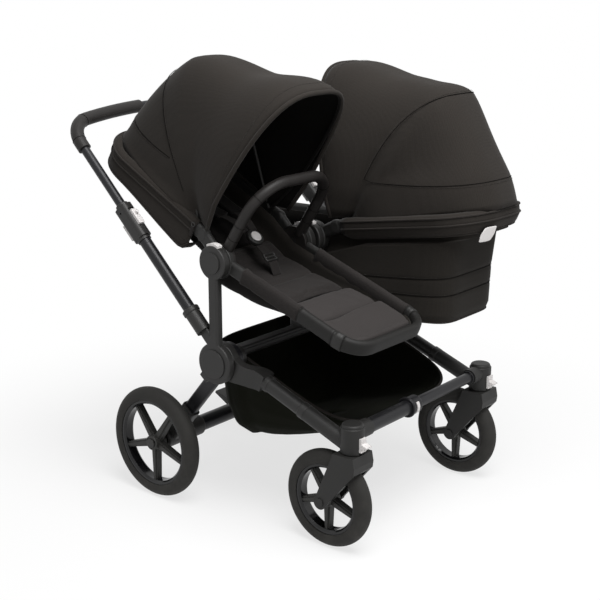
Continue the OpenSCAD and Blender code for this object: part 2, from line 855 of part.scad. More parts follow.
// Frame loop with pivot discs and a rounded knuckle where each head arm bends
disc_lip = 0.3;
knuckle_lip = 1;

module carrier_frame() {
  color(anodised) difference() {
    union() {
      rotate([0, 0, 180]) u_loop(foot_len, foot_r);
      translate([0, bend_y, bend_z]) rotate([head_angle, 0, 0]) u_loop(head_len, head_r);
      for (k = [0, 1]) mirror([k, 0, 0]) {
        along_x(arm_in - disc_lip, 0, 0) puck(head_d, disc_t + disc_lip, 3);
        along_x(arm_in - knuckle_lip, bend_y, bend_z) puck(arm_h + 2 * knuckle_lip, arm_w + 2 * knuckle_lip, 8);
        translate([arm_hw, 0, 0]) rotate([bend_angle - 90, 0, 0]) linear_extrude(bend_len) stadium(arm_w, arm_h);
      }
    }
    for (k = [0, 1]) mirror([k, 0, 0]) {
      along_x(arm_in - 1, 0, 0) cylinder(r = stub_d / 2 + run_fit, h = disc_t + 2);
    }
  }
}

module ear_space() {
  for (k = [0, 1]) mirror([k, 0, 0]) along_x(arm_in - 1, 0, 0) cylinder(d = ear_d + 3, h = ear_t + 1 + gap);
}

module seat_frame() {
  on_seat() difference() {
    carrier_frame();
    color(anodised) ear_space();
  }
  on_seat() rear_bow(seat_arch);
}

module cot_frame() {
  on_cot() carrier_frame();
  on_cot() rear_bow(cot_arch);
}

// Height of the frame line over the length
function frame_line(u) = u < 0 ? 0 : u < bend_y ? u * tan(bend_angle) : bend_z + (u - bend_y) * tan(head_angle);

// Half width of the space inside the frame, drawn in at the round corners
head_end = bend_y + head_len * cos(head_angle);
tub_foot = -foot_len + arm_w / 2 + 1;
tub_head = head_end - arm_w / 2 - 3;
tub_foot_hw = arm_in - 0.7;

function corner(u, end, r) =
  let (k = min(r, max(0, r - abs(end - u)))) sqrt(max(0, r * r - k * k)) - r;

function inside_hw(u) =
  blend3(u, 0, 60, tub_foot_hw, tub_hw) + min(corner(u, tub_foot, foot_r), corner(u, tub_head, head_r));

// Depth of the seat's fabric below the frame line
function blend3(u, u0, u1, a, b) = let (k = min(1, max(0, (u - u0) / (u1 - u0)))) a + (b - a) * k * k * (3 - 2 * k);
function end_rise(u) = min(blend3(u, tub_foot, tub_foot + 34, 0.3, 1), blend3(u, tub_head - 44, tub_head, 1, 0.2));
function seat_depth(u) = end_rise(u) * mid_depth(u);
function mid_depth(u) =
  u < -60 ? blend3(u, -300, -60, 26, 76) : u < 90 ? 76 + 8 * sin(180 * (u + 60) / 150) : blend3(u, 90, 440, 76, 40);

tub_wall = 4;
tub_square = 5;

// Hanging section across the seat tub
function hang(u, a, d, steps) = [
  for (i = [0:steps]) let (f = 180 * i / steps) [
    -a * power(cos(f), 2 / tub_square), u, frame_line(u) - d * power(sin(f), 2 / tub_square),
  ],
];

function reversed(list) = [for (i = [len(list) - 1:-1:0]) list[i]];

tub_cuts = concat(
  [for (i = [0:15]) (tub_foot + 1) * cos(90 * i / 15)],
  [for (i = [1:3]) bend_y * i / 3],
  [for (i = [1:10]) bend_y + (tub_head - 1 - bend_y) * sin(90 * i / 10)]
);

module seat_tub() {
  steps = 14;
  color(cloth) on_seat() sheet_skin([
    for (u = tub_cuts)
      let (
        a = inside_hw(u),
        d = seat_depth(u)
      ) concat(hang(u, a, d, steps), reversed(hang(u, a - tub_wall, d - tub_wall, steps))),
  ]);
  on_seat() head_wrap(seat_edge);
}

// Level on which a cushion lies at distance x from the middle, a little rounder than the tub
lie_square = 3.6;
function tub_floor(u, x) =
  let (k = min(1, abs(x) / (inside_hw(u) - tub_wall)))
    frame_line(u) - (seat_depth(u) - tub_wall) * pow(1 - pow(k, lie_square), 1 / lie_square);

// Cushion lying in the tub from u0 to u1, crowned, drawn in at its edges, with cross channels
cushion_lift = 1;
function cushion_section(u, u0, u1, thick, share, channels, steps) =
  let (
    e = (2 * u - u0 - u1) / (u1 - u0),
    edge = pow(max(0, 1 - pow(abs(e), 6)), 0.5),
    a = share * inside_hw(u) * (0.93 + 0.07 * edge),
    dip = max([0, for (c = channels) 0.45 * exp(-pow((u - c) / 9, 2))]),
    rise = thick * (0.25 + 0.75 * edge) * (1 - dip)
  ) [
    for (i = [0:steps]) let (x = -a * cos(180 * i / steps)) [x, u, tub_floor(u, x) + cushion_lift],
    for (i = [1:steps - 1]) let (f = 180 * i / steps, x = a * cos(f)) [
      x, u, tub_floor(u, x) + cushion_lift + rise * power(sin(f), 0.6),
    ],
  ];

module cushion(u0, u1, thick, share, channels, cuts) {
  skin([
    for (i = [cuts:-1:0])
      cushion_section(u0 + (u1 - u0) * (1 - cos(180 * i / cuts)) / 2, u0, u1, thick, share, channels, 14),
  ]);
}

module seat_cushion() {
  color(cloth) on_seat() {
    cushion(-196, 62, 34, 0.86, [-120], 16);
    cushion(74, 412, 26, 0.82, [190, 310], 18);
  }
}

module leg_rest() {
  color(cloth) on_seat() cushion(tub_foot + 56, -204, 16, 0.86, [-290], 14);
}

// Flat webbing through a list of points, width across X
module webbing(points, width) {
  t = 1.4;
  skin([
    for (p = points) [
      [p[0] - width / 2, p[1], p[2] + t], [p[0] + width / 2, p[1], p[2] + t],
      [p[0] + width / 2, p[1], p[2] - t], [p[0] - width / 2, p[1], p[2] - t],
    ],
  ]);
}

buckle_u = 26;
buckle_w = 22;
buckle_d = 46;
buckle_t = 14;
buckle_button_d = 29;
buckle_tilt = 22;
strap_end = buckle_d / 2 + 0.7;
function pad_top(u, thick) = tub_floor(u, 0) + cushion_lift + thick;

module harness() {
  color(cloth) on_seat() {
    webbing([
      [0, -72, pad_top(-72, 34) + 1.75], [0, -50, buckle_w - 30], [0, -20, buckle_w - 16],
      [0, buckle_u - strap_end * cos(buckle_tilt), buckle_w - strap_end * sin(buckle_tilt)],
    ], 30);
    for (k = [-1, 1]) {
      webbing([
        [k * 14, buckle_u + strap_end * cos(buckle_tilt), buckle_w + strap_end * sin(buckle_tilt)],
        [k * 22, buckle_u + 60, buckle_w + 22],
        [k * 34, 170, 34], [k * 42, 236, pad_top(236, 26) + 5], [k * 42, 262, pad_top(262, 26) + 0.9],
      ], 24);
    }
  }
}

module on_buckle() {
  on_seat() translate([0, buckle_u, buckle_w]) rotate([buckle_tilt, 0, 0]) children();
}

module buckle() {
  color(charcoal) on_buckle() difference() {
    translate([0, 0, -buckle_t / 2]) puck(buckle_d, buckle_t, 4);
    cylinder(r = buckle_button_d / 2 + gap, h = buckle_t);
  }
}

module buckle_button() {
  color(pale) on_buckle() translate([0, 0, 4]) puck(buckle_button_d, 6, 2);
}

// Bumper bar: ears on the pivot stubs, legs, two bends and a straight top
module bumper_bar() {
  bend = 92;
  hw = arm_in + bumper_d / 2 - 6;
  leg = bumper_rise - bend;
  color(charcoal) on_seat() difference() {
    rotate([bumper_lean, 0, 0]) {
      for (k = [0, 1]) mirror([k, 0, 0]) {
        along_x(arm_in, 0, 0) puck(ear_d, ear_t, 2);
        translate([hw, 0, 26]) cylinder(d = bumper_d, h = leg - 24);
        translate([hw - bend, 0, leg]) rotate([90, 0, 0]) rotate_extrude(angle = 90) {
          translate([bend, 0]) circle(d = bumper_d - 0.4);
        }
      }
      along_x(bend - hw - 2, 0, bumper_rise) cylinder(d = bumper_d, h = 2 * (hw - bend) + 4);
    }
    for (k = [0, 1]) mirror([k, 0, 0]) {
      along_x(arm_in - 1, 0, 0) cylinder(r = stub_d / 2 + run_fit, h = ear_t + 2);
      along_x(arm_in + ear_t - 0.3, 0, 0) cylinder(d = head_d + 2, h = 20);
    }
  }
}

// Canopies: arches about a pivot on the head arm, reaching further at the bows
hood_y = bend_y + 28;
hood_z = bend_z + 28 * tan(head_angle);
bow_foot = arm_in - bow_d / 2 - gap;

// A canopy is given as [back reach, rear reach, sag reach, front reach, rear angle, front angle]
seat_arch = [seat_back_r, seat_rear_r, seat_sag_r, seat_front_r, seat_rear_a, seat_front_a];
cot_arch = [cot_back_r, cot_rear_r, cot_sag_r, cot_front_r, cot_rear_a, cot_front_a];

function back_reach(a, c) =
  let (k = max(0, (a - head_angle) / (c[4] - head_angle))) c[0] + (c[1] - c[0]) * k - hood_draw * sin(180 * k);

function hood_reach(a, c) =
  let (mid = (c[4] + c[5]) / 2)
    a < c[4] ? back_reach(a, c) : a < mid ? blend3(a, c[4], mid, c[1], c[2]) : blend3(a, mid, c[5], c[2], c[3]);

// Half width of a canopy: it flares from the rear bow to the brim
function hood_half(a, c) = a < c[4] ? hood_hw : blend3(a, c[4], c[5], hood_hw, brim_hw);

// Point of an arch at share f of the way round
leg_low = 0.065;
function arch_x(f) = let (g = 180 * (leg_low / 2 + (1 - leg_low) * f)) -power(cos(g), 2 / hood_square);
function arch_r(f) = let (g = 180 * (leg_low / 2 + (1 - leg_low) * f)) power(sin(g), 2 / hood_square);
function hood_point(a, reach, hw, f) = [
  hw * arch_x(f), hood_y + reach * arch_r(f) * cos(a), hood_z + reach * arch_r(f) * sin(a),
];

// The lowest angle that keeps the cover clear of the frame tube
hood_lift = arm_h / 2 + gap + edge_t + 1.5;
function hood_low(reach, f) = head_angle + asin(min(1, hood_lift / (reach * arch_r(f))));

module hood_cover(c) {
  steps = 20;
  sheet_skin([
    for (i = [0:14]) [
      for (j = [0:2 * steps + 1])
        let (
          outer = j <= steps,
          f = (outer ? j : 2 * steps + 1 - j) / steps,
          low = hood_low(c[0] - hood_t, f),
          a = i < 6 ? low + (c[4] - low) * i / 6 : c[4] + (c[5] - c[4]) * (i - 6) / 8,
          reach = hood_reach(a, c)
        ) hood_point(a, outer ? reach : reach - hood_t, hood_half(a, c) - (outer ? 0 : hood_t), f),
    ],
  ]);
}

// Round tube bent to an arch; its plane is pushed forward by the given distance
module hood_bow_solid(a, reach, forward, foot_x) {
  sides = 8;
  steps = 26;
  path = concat(
    [[-foot_x, 0], [-foot_x, arm_h / 2 + bow_d]],
    [for (i = [0:steps]) [(brim_hw - hood_t - bow_d) * arch_x(i / steps), reach * arch_r(i / steps)]],
    [[foot_x, arm_h / 2 + bow_d], [foot_x, 0]]
  );
  count = len(path);
  color(anodised) translate([0, hood_y, hood_z]) rotate([a, 0, 0]) skin([
    for (i = [0:count - 1])
      let (
        before = path[max(0, i - 1)],
        after = path[min(count - 1, i + 1)],
        run = after - before,
        out = [-run[1], run[0]] / norm(run)
      ) [
        for (k = [0:sides - 1]) let (g = 360 * k / sides) [
          path[i][0] + out[0] * cos(g) * bow_d / 2,
          path[i][1] + out[1] * cos(g) * bow_d / 2,
          forward + sin(g) * bow_d / 2,
        ],
      ],
  ]);
}

// Rear bow: two legs that lean in from the frame arms to a round top
bow_top_r = 105;
bow_seat = 9;

module rear_bow(c) {
  foot = arm_in + 1;
  rise = c[1] - hood_t - bow_d - bow_top_r;
  far = norm([foot, rise]);
  lean = acos(bow_top_r / far) + atan2(foot, rise) - 90;
  color(anodised) translate([0, hood_y, hood_z]) rotate([c[4], 0, 0]) {
    translate([0, rise, 0]) rotate(lean) rotate_extrude(angle = 180 - 2 * lean) {
      translate([bow_top_r, 0]) circle(d = bow_d - 0.4);
    }
    for (k = [0, 1]) mirror([k, 0, 0]) translate([foot, 0, 0]) rotate([-90, 0, lean]) {
      translate([0, 0, bow_seat]) cylinder(d = bow_d, h = sqrt(far * far - bow_top_r * bow_top_r) - bow_seat + 2);
    }
  }
}

module front_bow(c) {
  hood_bow_solid(c[5], c[3] - 2, bow_d / 2 + gap, bow_foot);
}

module seat_hood() {
  color(cloth) on_seat() hood_cover(seat_arch);
}

module seat_hood_bow() {
  on_seat() front_bow(seat_arch);
}

module cot_hood() {
  color(cloth) on_cot() hood_cover(cot_arch);
}

module cot_hood_bow() {
  on_cot() front_bow(cot_arch);
}

// Fabric edge swept round the head loop: over the tube, down its outside and under it
wrap_start = 24;
wrap_steps = 16;
wrap_reach = head_len - head_r;
wrap_mid = arm_hw - head_r;

function wrap_path() = concat(
  [[arm_hw, wrap_start, 0], [arm_hw, wrap_reach, 0]],
  [
    for (i = [1:wrap_steps])
      let (a = 90 * i / wrap_steps) [wrap_mid + head_r * cos(a), wrap_reach + head_r * sin(a), a],
  ],
  [
    for (i = [0:wrap_steps - 1])
      let (a = 90 + 90 * i / wrap_steps) [-wrap_mid + head_r * cos(a), wrap_reach + head_r * sin(a), a],
  ],
  [[-arm_hw, wrap_reach, 180], [-arm_hw, wrap_start, 180]]
);

function wrap_edge(r, drop, lift) = concat(
  [for (i = [0:5]) let (g = 100 - 20 * i) [r * cos(g), (arm_h - arm_w) / 2 + r * sin(g)]],
  [[r, -arm_h / 3], [r + 1, -arm_h / 2 - drop * 0.7 + lift], [r - 5, -arm_h / 2 - drop + lift]],
  [[-24, -arm_h / 2 - drop - 4 + lift]]
);

module head_wrap(drop) {
  bare = arm_w / 2 + gap;
  section = concat(wrap_edge(bare + edge_t, drop, 0), reversed(wrap_edge(bare, drop, edge_t - 0.5)));
  color(cloth) translate([0, bend_y, bend_z]) rotate([head_angle, 0, 0]) sheet_skin([
    for (p = reversed(wrap_path())) [for (q = section) [p[0] + q[0] * cos(p[2]), p[1] + q[0] * sin(p[2]), q[1]]],
  ]);
}

// Carrycot tub: inside the frame at the rim, full width below it, flat floor with round edge
cot_wide = 142;
cot_front = 402;
cot_rear = -402;
wide_under = head_d / 2 + 3;
cot_corner = 6;
cot_wall = 5;

// Levels as [share of the way down, drop below the frame line, half width, rear end, front end]
cot_levels = [
  [0, 0, tub_hw, tub_foot + 6, tub_head - 6],
  [0, wide_under, tub_hw + 3, tub_foot + 6, tub_head - 6],
  [0, wide_under + 6, cot_wide, cot_rear, tub_head - 20],
  [0.45, wide_under, cot_wide + 2, cot_rear, cot_front],
  [0.9, wide_under, cot_wide - 2, cot_rear + 4, cot_front - 4],
  [0.98, wide_under, cot_wide - 8, cot_rear + 10, cot_front - 10],
  [1, wide_under, cot_wide - 22, cot_rear + 24, cot_front - 24],
];

// Line that stays low past the pivot discs, then joins the frame line
function low_line(u) = u < 46 ? 0 : blend3(u, 46, 130, 0, frame_line(u));

function cot_ring(level, inset, floor_lift) = [
  for (i = [0:47])
    let (
      f = 360 * i / 48,
      mid = (level[3] + level[4]) / 2,
      x = (level[2] - inset) * power(cos(f), 2 / cot_corner),
      u = mid + ((level[4] - level[3]) / 2 - inset) * power(sin(f), 2 / cot_corner),
      top = (level[1] > 0 ? low_line(u) : frame_line(u)) - level[1]
    ) [x, u, top + (floor_lift - cot_depth - top) * level[0]],
];

module cot_tub() {
  outer = [for (i = [len(cot_levels) - 1:-1:0]) cot_ring(cot_levels[i], 0, 0)];
  inner = [for (level = cot_levels) cot_ring(level, cot_wall, cot_wall)];
  color(cloth) on_cot() skin(concat(outer, inner));
  on_cot() head_wrap(cot_edge);
}

// Crowned mattress on the floor of the tub
module cot_mattress() {
  thick = 30;
  color(cloth) on_cot() skin([
    for (j = [0:8])
      let (g = -90 + 180 * j / 8, s = power(cos(g), 0.35)) [
        for (i = [0:31]) let (f = 360 * i / 32) [
          (cot_wide - 30) * max(0.02, s) * power(cos(f), 0.5),
          (cot_front - 40) * max(0.02, s) * power(sin(f), 0.5),
          -cot_depth + cot_wall + gap + thick / 2 + thick / 2 * sin(g),
        ],
      ],
  ]);
}

// Basket hung inside the front frame: open at the top, deepest towards the back
basket_side = 36;
basket_hw = caster_x - basket_side;
basket_front = caster_y + cross_d / 2 + 24;
basket_back = hub_y + 146;
basket_wall = 3;
basket_corner = 4.5;

function basket_rim(y) = hub_z - gap - max(0, hub_y - y) * tan(front_slope);
function basket_floor(y) =
  let (k = (y - basket_front) / (basket_back - basket_front)) basket_rim(y) - 40 - 225 * power(sin(90 * k), 1.4);

// Levels as [share of the way down, inset of the outline]
basket_levels = [[0, 0], [0.3, 3], [0.62, 12], [0.86, 30], [1, 62]];

function basket_ring(level, inset) = [
  for (i = [0:47])
    let (
      f = 360 * i / 48,
      mid = (basket_front + basket_back) / 2,
      half = (basket_back - basket_front) / 2,
      x = (basket_hw - level[1] - inset) * power(cos(f), 2 / basket_corner),
      y = mid + (half - level[1] - inset) * power(sin(f), 2 / basket_corner),
      top = basket_rim(y)
    ) [x, y, top + (basket_floor(y) + inset - top) * level[0]],
];

module basket() {
  outer = [for (i = [len(basket_levels) - 1:-1:0]) basket_ring(basket_levels[i], 0)];
  inner = [for (level = basket_levels) basket_ring(level, basket_wall)];
  color(cloth) skin(concat(outer, inner));
}

post(RIGHT);  // right_post
post(LEFT);  // left_post
centre_posts();
centre_beam();
hub_pins();
lower_tube(RIGHT);  // right_lower_tube
lower_tube(LEFT);  // left_lower_tube
clamp_housing(RIGHT);  // right_clamp_housing
clamp_housing(LEFT);  // left_clamp_housing
handlebar_tube();
grip(RIGHT);  // right_grip
grip(LEFT);  // left_grip
height_lever(RIGHT);  // right_height_lever
height_lever(LEFT);  // left_height_lever
fold_slider(RIGHT);  // right_fold_slider
fold_slider(LEFT);  // left_fold_slider
release_button(-tube_x, post_t);  // right_seat_release
release_button(-mid_gap / 2 - mid_t / 2, mid_t);  // centre_seat_release
release_button(mid_gap / 2 + mid_t / 2, mid_t);  // centre_cot_release
release_button(tube_x, post_t);  // left_cot_release
front_arm(RIGHT);  // right_front_arm
front_arm(LEFT);  // left_front_arm
caster_housing(RIGHT);  // right_caster_housing
caster_housing(LEFT);  // left_caster_housing
front_cross_tube();
width_lock_button();
basket();
swivel_lock(RIGHT);  // right_swivel_lock
swivel_lock(LEFT);  // left_swivel_lock
fork(RIGHT);  // right_fork
fork(LEFT);  // left_fork
at_front_wheel(RIGHT) tyre(front_wheel_d);  // right_front_tyre
at_front_wheel(LEFT) tyre(front_wheel_d);  // left_front_tyre
at_front_wheel(RIGHT) wheel(front_wheel_d);  // right_front_wheel
at_front_wheel(LEFT) wheel(front_wheel_d);  // left_front_wheel
rear_leg(RIGHT);  // right_rear_leg
rear_leg(LEFT);  // left_rear_leg
axle_bracket(RIGHT);  // right_axle_bracket
axle_bracket(LEFT);  // left_axle_bracket
rear_cross_tube();
brake_pedal();
at_rear_wheel(RIGHT) tyre(rear_wheel_d);  // right_rear_tyre
at_rear_wheel(LEFT) tyre(rear_wheel_d);  // left_rear_tyre
at_rear_wheel(RIGHT) wheel(rear_wheel_d);  // right_rear_wheel
at_rear_wheel(LEFT) wheel(rear_wheel_d);  // left_rear_wheel
seat_frame();
seat_tub();
seat_cushion();
leg_rest();
harness();
buckle();
buckle_button();
bumper_bar();
seat_hood();
seat_hood_bow();
cot_frame();
cot_tub();
cot_mattress();
cot_hood();
cot_hood_bow();
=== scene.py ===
import math
from collections import namedtuple

import bpy
import numpy as np
from mathutils import Matrix, Vector


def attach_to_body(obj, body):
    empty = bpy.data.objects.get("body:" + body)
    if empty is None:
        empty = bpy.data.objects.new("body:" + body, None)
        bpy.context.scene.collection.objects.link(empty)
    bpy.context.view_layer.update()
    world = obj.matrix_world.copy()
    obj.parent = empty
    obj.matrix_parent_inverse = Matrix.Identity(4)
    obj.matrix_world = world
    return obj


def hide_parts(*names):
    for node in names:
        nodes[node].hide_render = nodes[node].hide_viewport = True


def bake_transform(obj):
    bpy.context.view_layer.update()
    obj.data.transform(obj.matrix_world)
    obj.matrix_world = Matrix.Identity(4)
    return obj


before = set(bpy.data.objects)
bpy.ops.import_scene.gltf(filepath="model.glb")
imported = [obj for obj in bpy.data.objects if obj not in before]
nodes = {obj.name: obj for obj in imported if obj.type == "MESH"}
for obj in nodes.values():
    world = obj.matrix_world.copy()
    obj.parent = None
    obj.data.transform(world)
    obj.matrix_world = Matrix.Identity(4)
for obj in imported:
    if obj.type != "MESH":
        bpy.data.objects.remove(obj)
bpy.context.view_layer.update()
scene = bpy.context.scene

# Main measures of the pram, in millimetres as in the part's source
MM = 0.001
FORE_AFT = -72.5
HUB_BACK, HUB_Z, POST_RISE = 44.0, 409.0, 254.0
HUB_Y, PIVOT_Z = FORE_AFT + HUB_BACK, HUB_Z + POST_RISE
CARRIER_X = 178.85
HALF_BASE, CASTER_LEAD = 263.0, 67.0
FRONT_AXLE = (282.0, FORE_AFT - HALF_BASE, 122.0)
REAR_AXLE = (347.0, FORE_AFT + HALF_BASE, 148.0)
CASTER_Y = FRONT_AXLE[1] - CASTER_LEAD
TYRE_T, RIM_T = 33.0, 11.5

# Carrier frames: the tube, the foot loop, the bend behind the pivot and the head loop
ARM_W, ARM_H = 20.0, 36.0
ARM_IN = 129.25
ARM_HW = ARM_IN + ARM_W / 2
FOOT_LEN, FOOT_R = 434.0, 60.0
HEAD_LEN, HEAD_R = 408.0, 105.0
BEND_LEN, BEND_TURN, HEAD_SLOPE = 80.0, math.radians(25), math.radians(8)
BEND_Y, BEND_Z = BEND_LEN * math.cos(BEND_TURN), BEND_LEN * math.sin(BEND_TURN)
SEAT_TILT, COT_TILT = math.radians(20), math.radians(1)

# Fabric tubs inside the frames, and the pads in the seat
TUB_GAP_FOOT, TUB_GAP_HEAD = 11.0, 3.0
TUB_FOOT = -FOOT_LEN + TUB_GAP_FOOT
TUB_HEAD = BEND_Y + HEAD_LEN * math.cos(HEAD_SLOPE) - ARM_W / 2 - TUB_GAP_HEAD
TUB_HW, TUB_WALL, TUB_ROUND = 119.0, 4.0, 3.6
# depth of the seat's tub at the legs, the knees and the head, and where the knees and the back begin
LEG_DEEP, SEAT_DEEP, HEAD_DEEP, SEAT_BELLY = 26.0, 76.0, 40.0, 8.0
LEG_U, KNEE_U, BACK_U, NAPE_U = -300.0, -60.0, 90.0, 440.0
COT_DEPTH = 186.0
PAD_LIFT, SEAT_PAD_T, BACK_PAD_T = 1.2, 38.0, 26.0

# Canopies: reach at the frame, at the rear bow, between the bows and at the brim, then both bows' angles
Arch = namedtuple("Arch", "back rear sag front rear_a front_a")
SEAT_ARCH = Arch(388.0, 412.0, 379.0, 432.0, 57.0, 109.0)
COT_ARCH = Arch(402.0, 431.0, 388.0, 417.0, 53.0, 103.0)
HOOD_HW, BRIM_HW, HOOD_T = 142.0, 170.0, 4.0
HOOD_PAST_BEND, HOOD_BASE_A, HOOD_BELLY = 28.0, 8.0, 14.0
ARCH_START, ARCH_ROUND = 0.0325, 0.625
HOOD_Y = BEND_Y + HOOD_PAST_BEND
HOOD_Z = BEND_Z + HOOD_PAST_BEND * math.tan(HEAD_SLOPE)
# height of a canopy's lower edge over the frame's middle, and how far its lower front corners lie ahead
HOOD_EDGE, CORNER_REACH = 16.4, 34.0

SEAT = (
    Matrix.Translation((-CARRIER_X * MM, HUB_Y * MM, PIVOT_Z * MM))
    @ Matrix.Rotation(SEAT_TILT, 4, "X")
)
COT = (
    Matrix.Translation((CARRIER_X * MM, HUB_Y * MM, PIVOT_Z * MM))
    @ Matrix.Rotation(math.pi, 4, "Z")
    @ Matrix.Rotation(COT_TILT, 4, "X")
)
WORLD = Matrix.Identity(4)


# Shader helpers


def feed(tree, socket, value):
    """Links a socket to another node's output, or gives it a plain value."""
    if isinstance(value, bpy.types.NodeSocket):
        tree.links.new(value, socket)
    else:
        socket.default_value = value


def fill(tree, node, values):
    """Feeds a node's inputs by their names."""
    for label, value in values.items():
        feed(tree, node.inputs[label], value)


def operate(tree, node, kind, values):
    """Sets what a math node does and feeds its inputs in turn."""
    node.operation = kind
    for socket, value in zip(node.inputs, values):
        feed(tree, socket, value)
    return node.outputs


def math_node(tree, kind, *values):
    """Output of a sum on plain numbers."""
    return operate(tree, tree.nodes.new("ShaderNodeMath"), kind, values)[0]


def vector_node(tree, kind, *values):
    """Outputs of a sum on vectors."""
    return operate(tree, tree.nodes.new("ShaderNodeVectorMath"), kind, values)


def remap(tree, value, limits, curve="LINEAR"):
    """Maps a value from one range to another; limits that aren't given stay 0 and 1."""
    node = tree.nodes.new("ShaderNodeMapRange")
    node.interpolation_type = curve
    fill(tree, node, {"Value": value, **limits})
    return node.outputs["Result"]


def object_point(tree):
    """Each point in the piece's own space, in metres."""
    return tree.nodes.new("ShaderNodeTexCoord").outputs["Object"]


def noise(tree, where, scale, detail, rough):
    """A noise pattern over the points it is given."""
    node = tree.nodes.new("ShaderNodeTexNoise")
    fill(tree, node, {"Vector": where, "Scale": scale, "Detail": detail, "Roughness": rough})
    return node.outputs["Fac"]


# Camera, light and floor, in metres
CAMERA_PLACE = (-2.285, -1.836 + FORE_AFT * MM, 1.3226)
CAMERA_TURN, CAMERA_RISE = math.radians(-50.2803), math.radians(15.5974)
CAMERA_LENS, CAMERA_SENSOR = 69.6, 36.0
SOFTBOXES = (
    ("top_softbox", (-0.55, -1.1, 3.0), (-0.1, 0, 0.7), 2.2, 106),
    ("front_softbox", (-1.3, -3.2, 2.0), (0, 0, 0.5), 1.8, 8),
    ("side_softbox", (2.4, -2.2, 1.7), (0, 0, 0.5), 1.6, 1.5),
)
WORLD_LIGHT = 0.22
FLOOR_HALF, FLOOR_GREY = 14.0, 0.93
# the floor's glow grows from a share beside the pram to pure white further out
GLOW_NEAR, GLOW_FAR, GLOW_SHARE = 0.45, 1.5, 0.72


def set_down(name, data, place, ahead):
    """Adds a camera or a lamp that looks along a direction."""
    thing = bpy.data.objects.new(name, data)
    thing.location = place
    thing.rotation_mode = "QUATERNION"
    thing.rotation_quaternion = ahead.to_track_quat("-Z", "Y")
    scene.collection.objects.link(thing)
    return thing


def make_camera():
    """Camera of the photograph, from its solved place and turn."""
    data = bpy.data.cameras.new("photo_camera")
    data.lens, data.sensor_width = CAMERA_LENS, CAMERA_SENSOR
    data.clip_start, data.clip_end = 0.05, 60.0
    level = math.cos(CAMERA_RISE)
    back = Vector((math.sin(CAMERA_TURN) * level, -math.cos(CAMERA_TURN) * level, math.sin(CAMERA_RISE)))
    scene.camera = set_down("photo_camera", data, CAMERA_PLACE, -back)


def seen_ray(tree):
    """1 for camera, glossy and transmission rays, 0 for the rays that light the pram."""
    path = tree.nodes.new("ShaderNodeLightPath").outputs
    seen = math_node(tree, "MAXIMUM", path["Is Camera Ray"], path["Is Glossy Ray"])
    return math_node(tree, "MAXIMUM", seen, path["Is Transmission Ray"])


def make_world():
    """White to the camera and in reflections, with a weaker light on the pram."""
    scene.view_settings.view_transform = "Standard"
    scene.world = bpy.data.worlds.new("studio")
    scene.world.use_nodes = True
    tree = scene.world.node_tree
    shade = tree.nodes["Background"]
    shade.inputs["Color"].default_value = (1, 1, 1, 1)
    strength = remap(tree, seen_ray(tree), {"To Min": WORLD_LIGHT, "To Max": 1.0})
    tree.links.new(strength, shade.inputs["Strength"])


def make_softboxes():
    """Round lamps, each aimed at a spot on the pram."""
    for name, place, aim, size, watts in SOFTBOXES:
        data = bpy.data.lights.new(name, "AREA")
        data.shape, data.size, data.energy = "DISK", size, watts
        set_down(name, data, place, Vector(aim) - Vector(place))


def make_floor():
    """White floor that takes the pram's shadow close by."""
    mesh = bpy.data.meshes.new("floor")
    corners = [(x * FLOOR_HALF, y * FLOOR_HALF, 0) for x, y in ((-1, -1), (1, -1), (1, 1), (-1, 1))]
    mesh.from_pydata(corners, [], [(0, 1, 2, 3)])
    floor = bpy.data.objects.new("floor", mesh)
    scene.collection.objects.link(floor)
    paint = bpy.data.materials.new("studio_floor")
    paint.use_nodes = True
    tree = paint.node_tree
    tree.nodes.clear()
    out = tree.nodes.new("ShaderNodeOutputMaterial")
    mix = tree.nodes.new("ShaderNodeMixShader")
    matt = tree.nodes.new("ShaderNodeBsdfDiffuse")
    matt.inputs["Color"].default_value = (FLOOR_GREY, FLOOR_GREY, FLOOR_GREY, 1)
    glow = tree.nodes.new("ShaderNodeEmission")
    away = vector_node(tree, "LENGTH", object_point(tree))["Value"]
    limits = {"From Min": GLOW_NEAR, "From Max": GLOW_FAR, "To Min": GLOW_SHARE}
    share = remap(tree, away, limits, "SMOOTHSTEP")
    tree.links.new(math_node(tree, "MULTIPLY", share, seen_ray(tree)), mix.inputs[0])
    tree.links.new(matt.outputs[0], mix.inputs[1])
    tree.links.new(glow.outputs[0], mix.inputs[2])
    tree.links.new(mix.outputs[0], out.inputs["Surface"])
    mesh.materials.append(paint)


make_camera()
make_world()
make_softboxes()
make_floor()


# Finishes: effects that several materials share are node groups


def new_group(name, takes, gives):
    """A shader node group with (name, kind, value) inputs and (name, kind) outputs."""
    group = bpy.data.node_groups.new(name, "ShaderNodeTree")
    for label, kind, value in takes:
        socket = group.interface.new_socket(label, in_out="INPUT", socket_type="NodeSocket" + kind)
        socket.default_value = value
    for label, kind in gives:
        group.interface.new_socket(label, in_out="OUTPUT", socket_type="NodeSocket" + kind)
    source = group.nodes.new("NodeGroupInput")
    sink = group.nodes.new("NodeGroupOutput")
    return group, source, sink


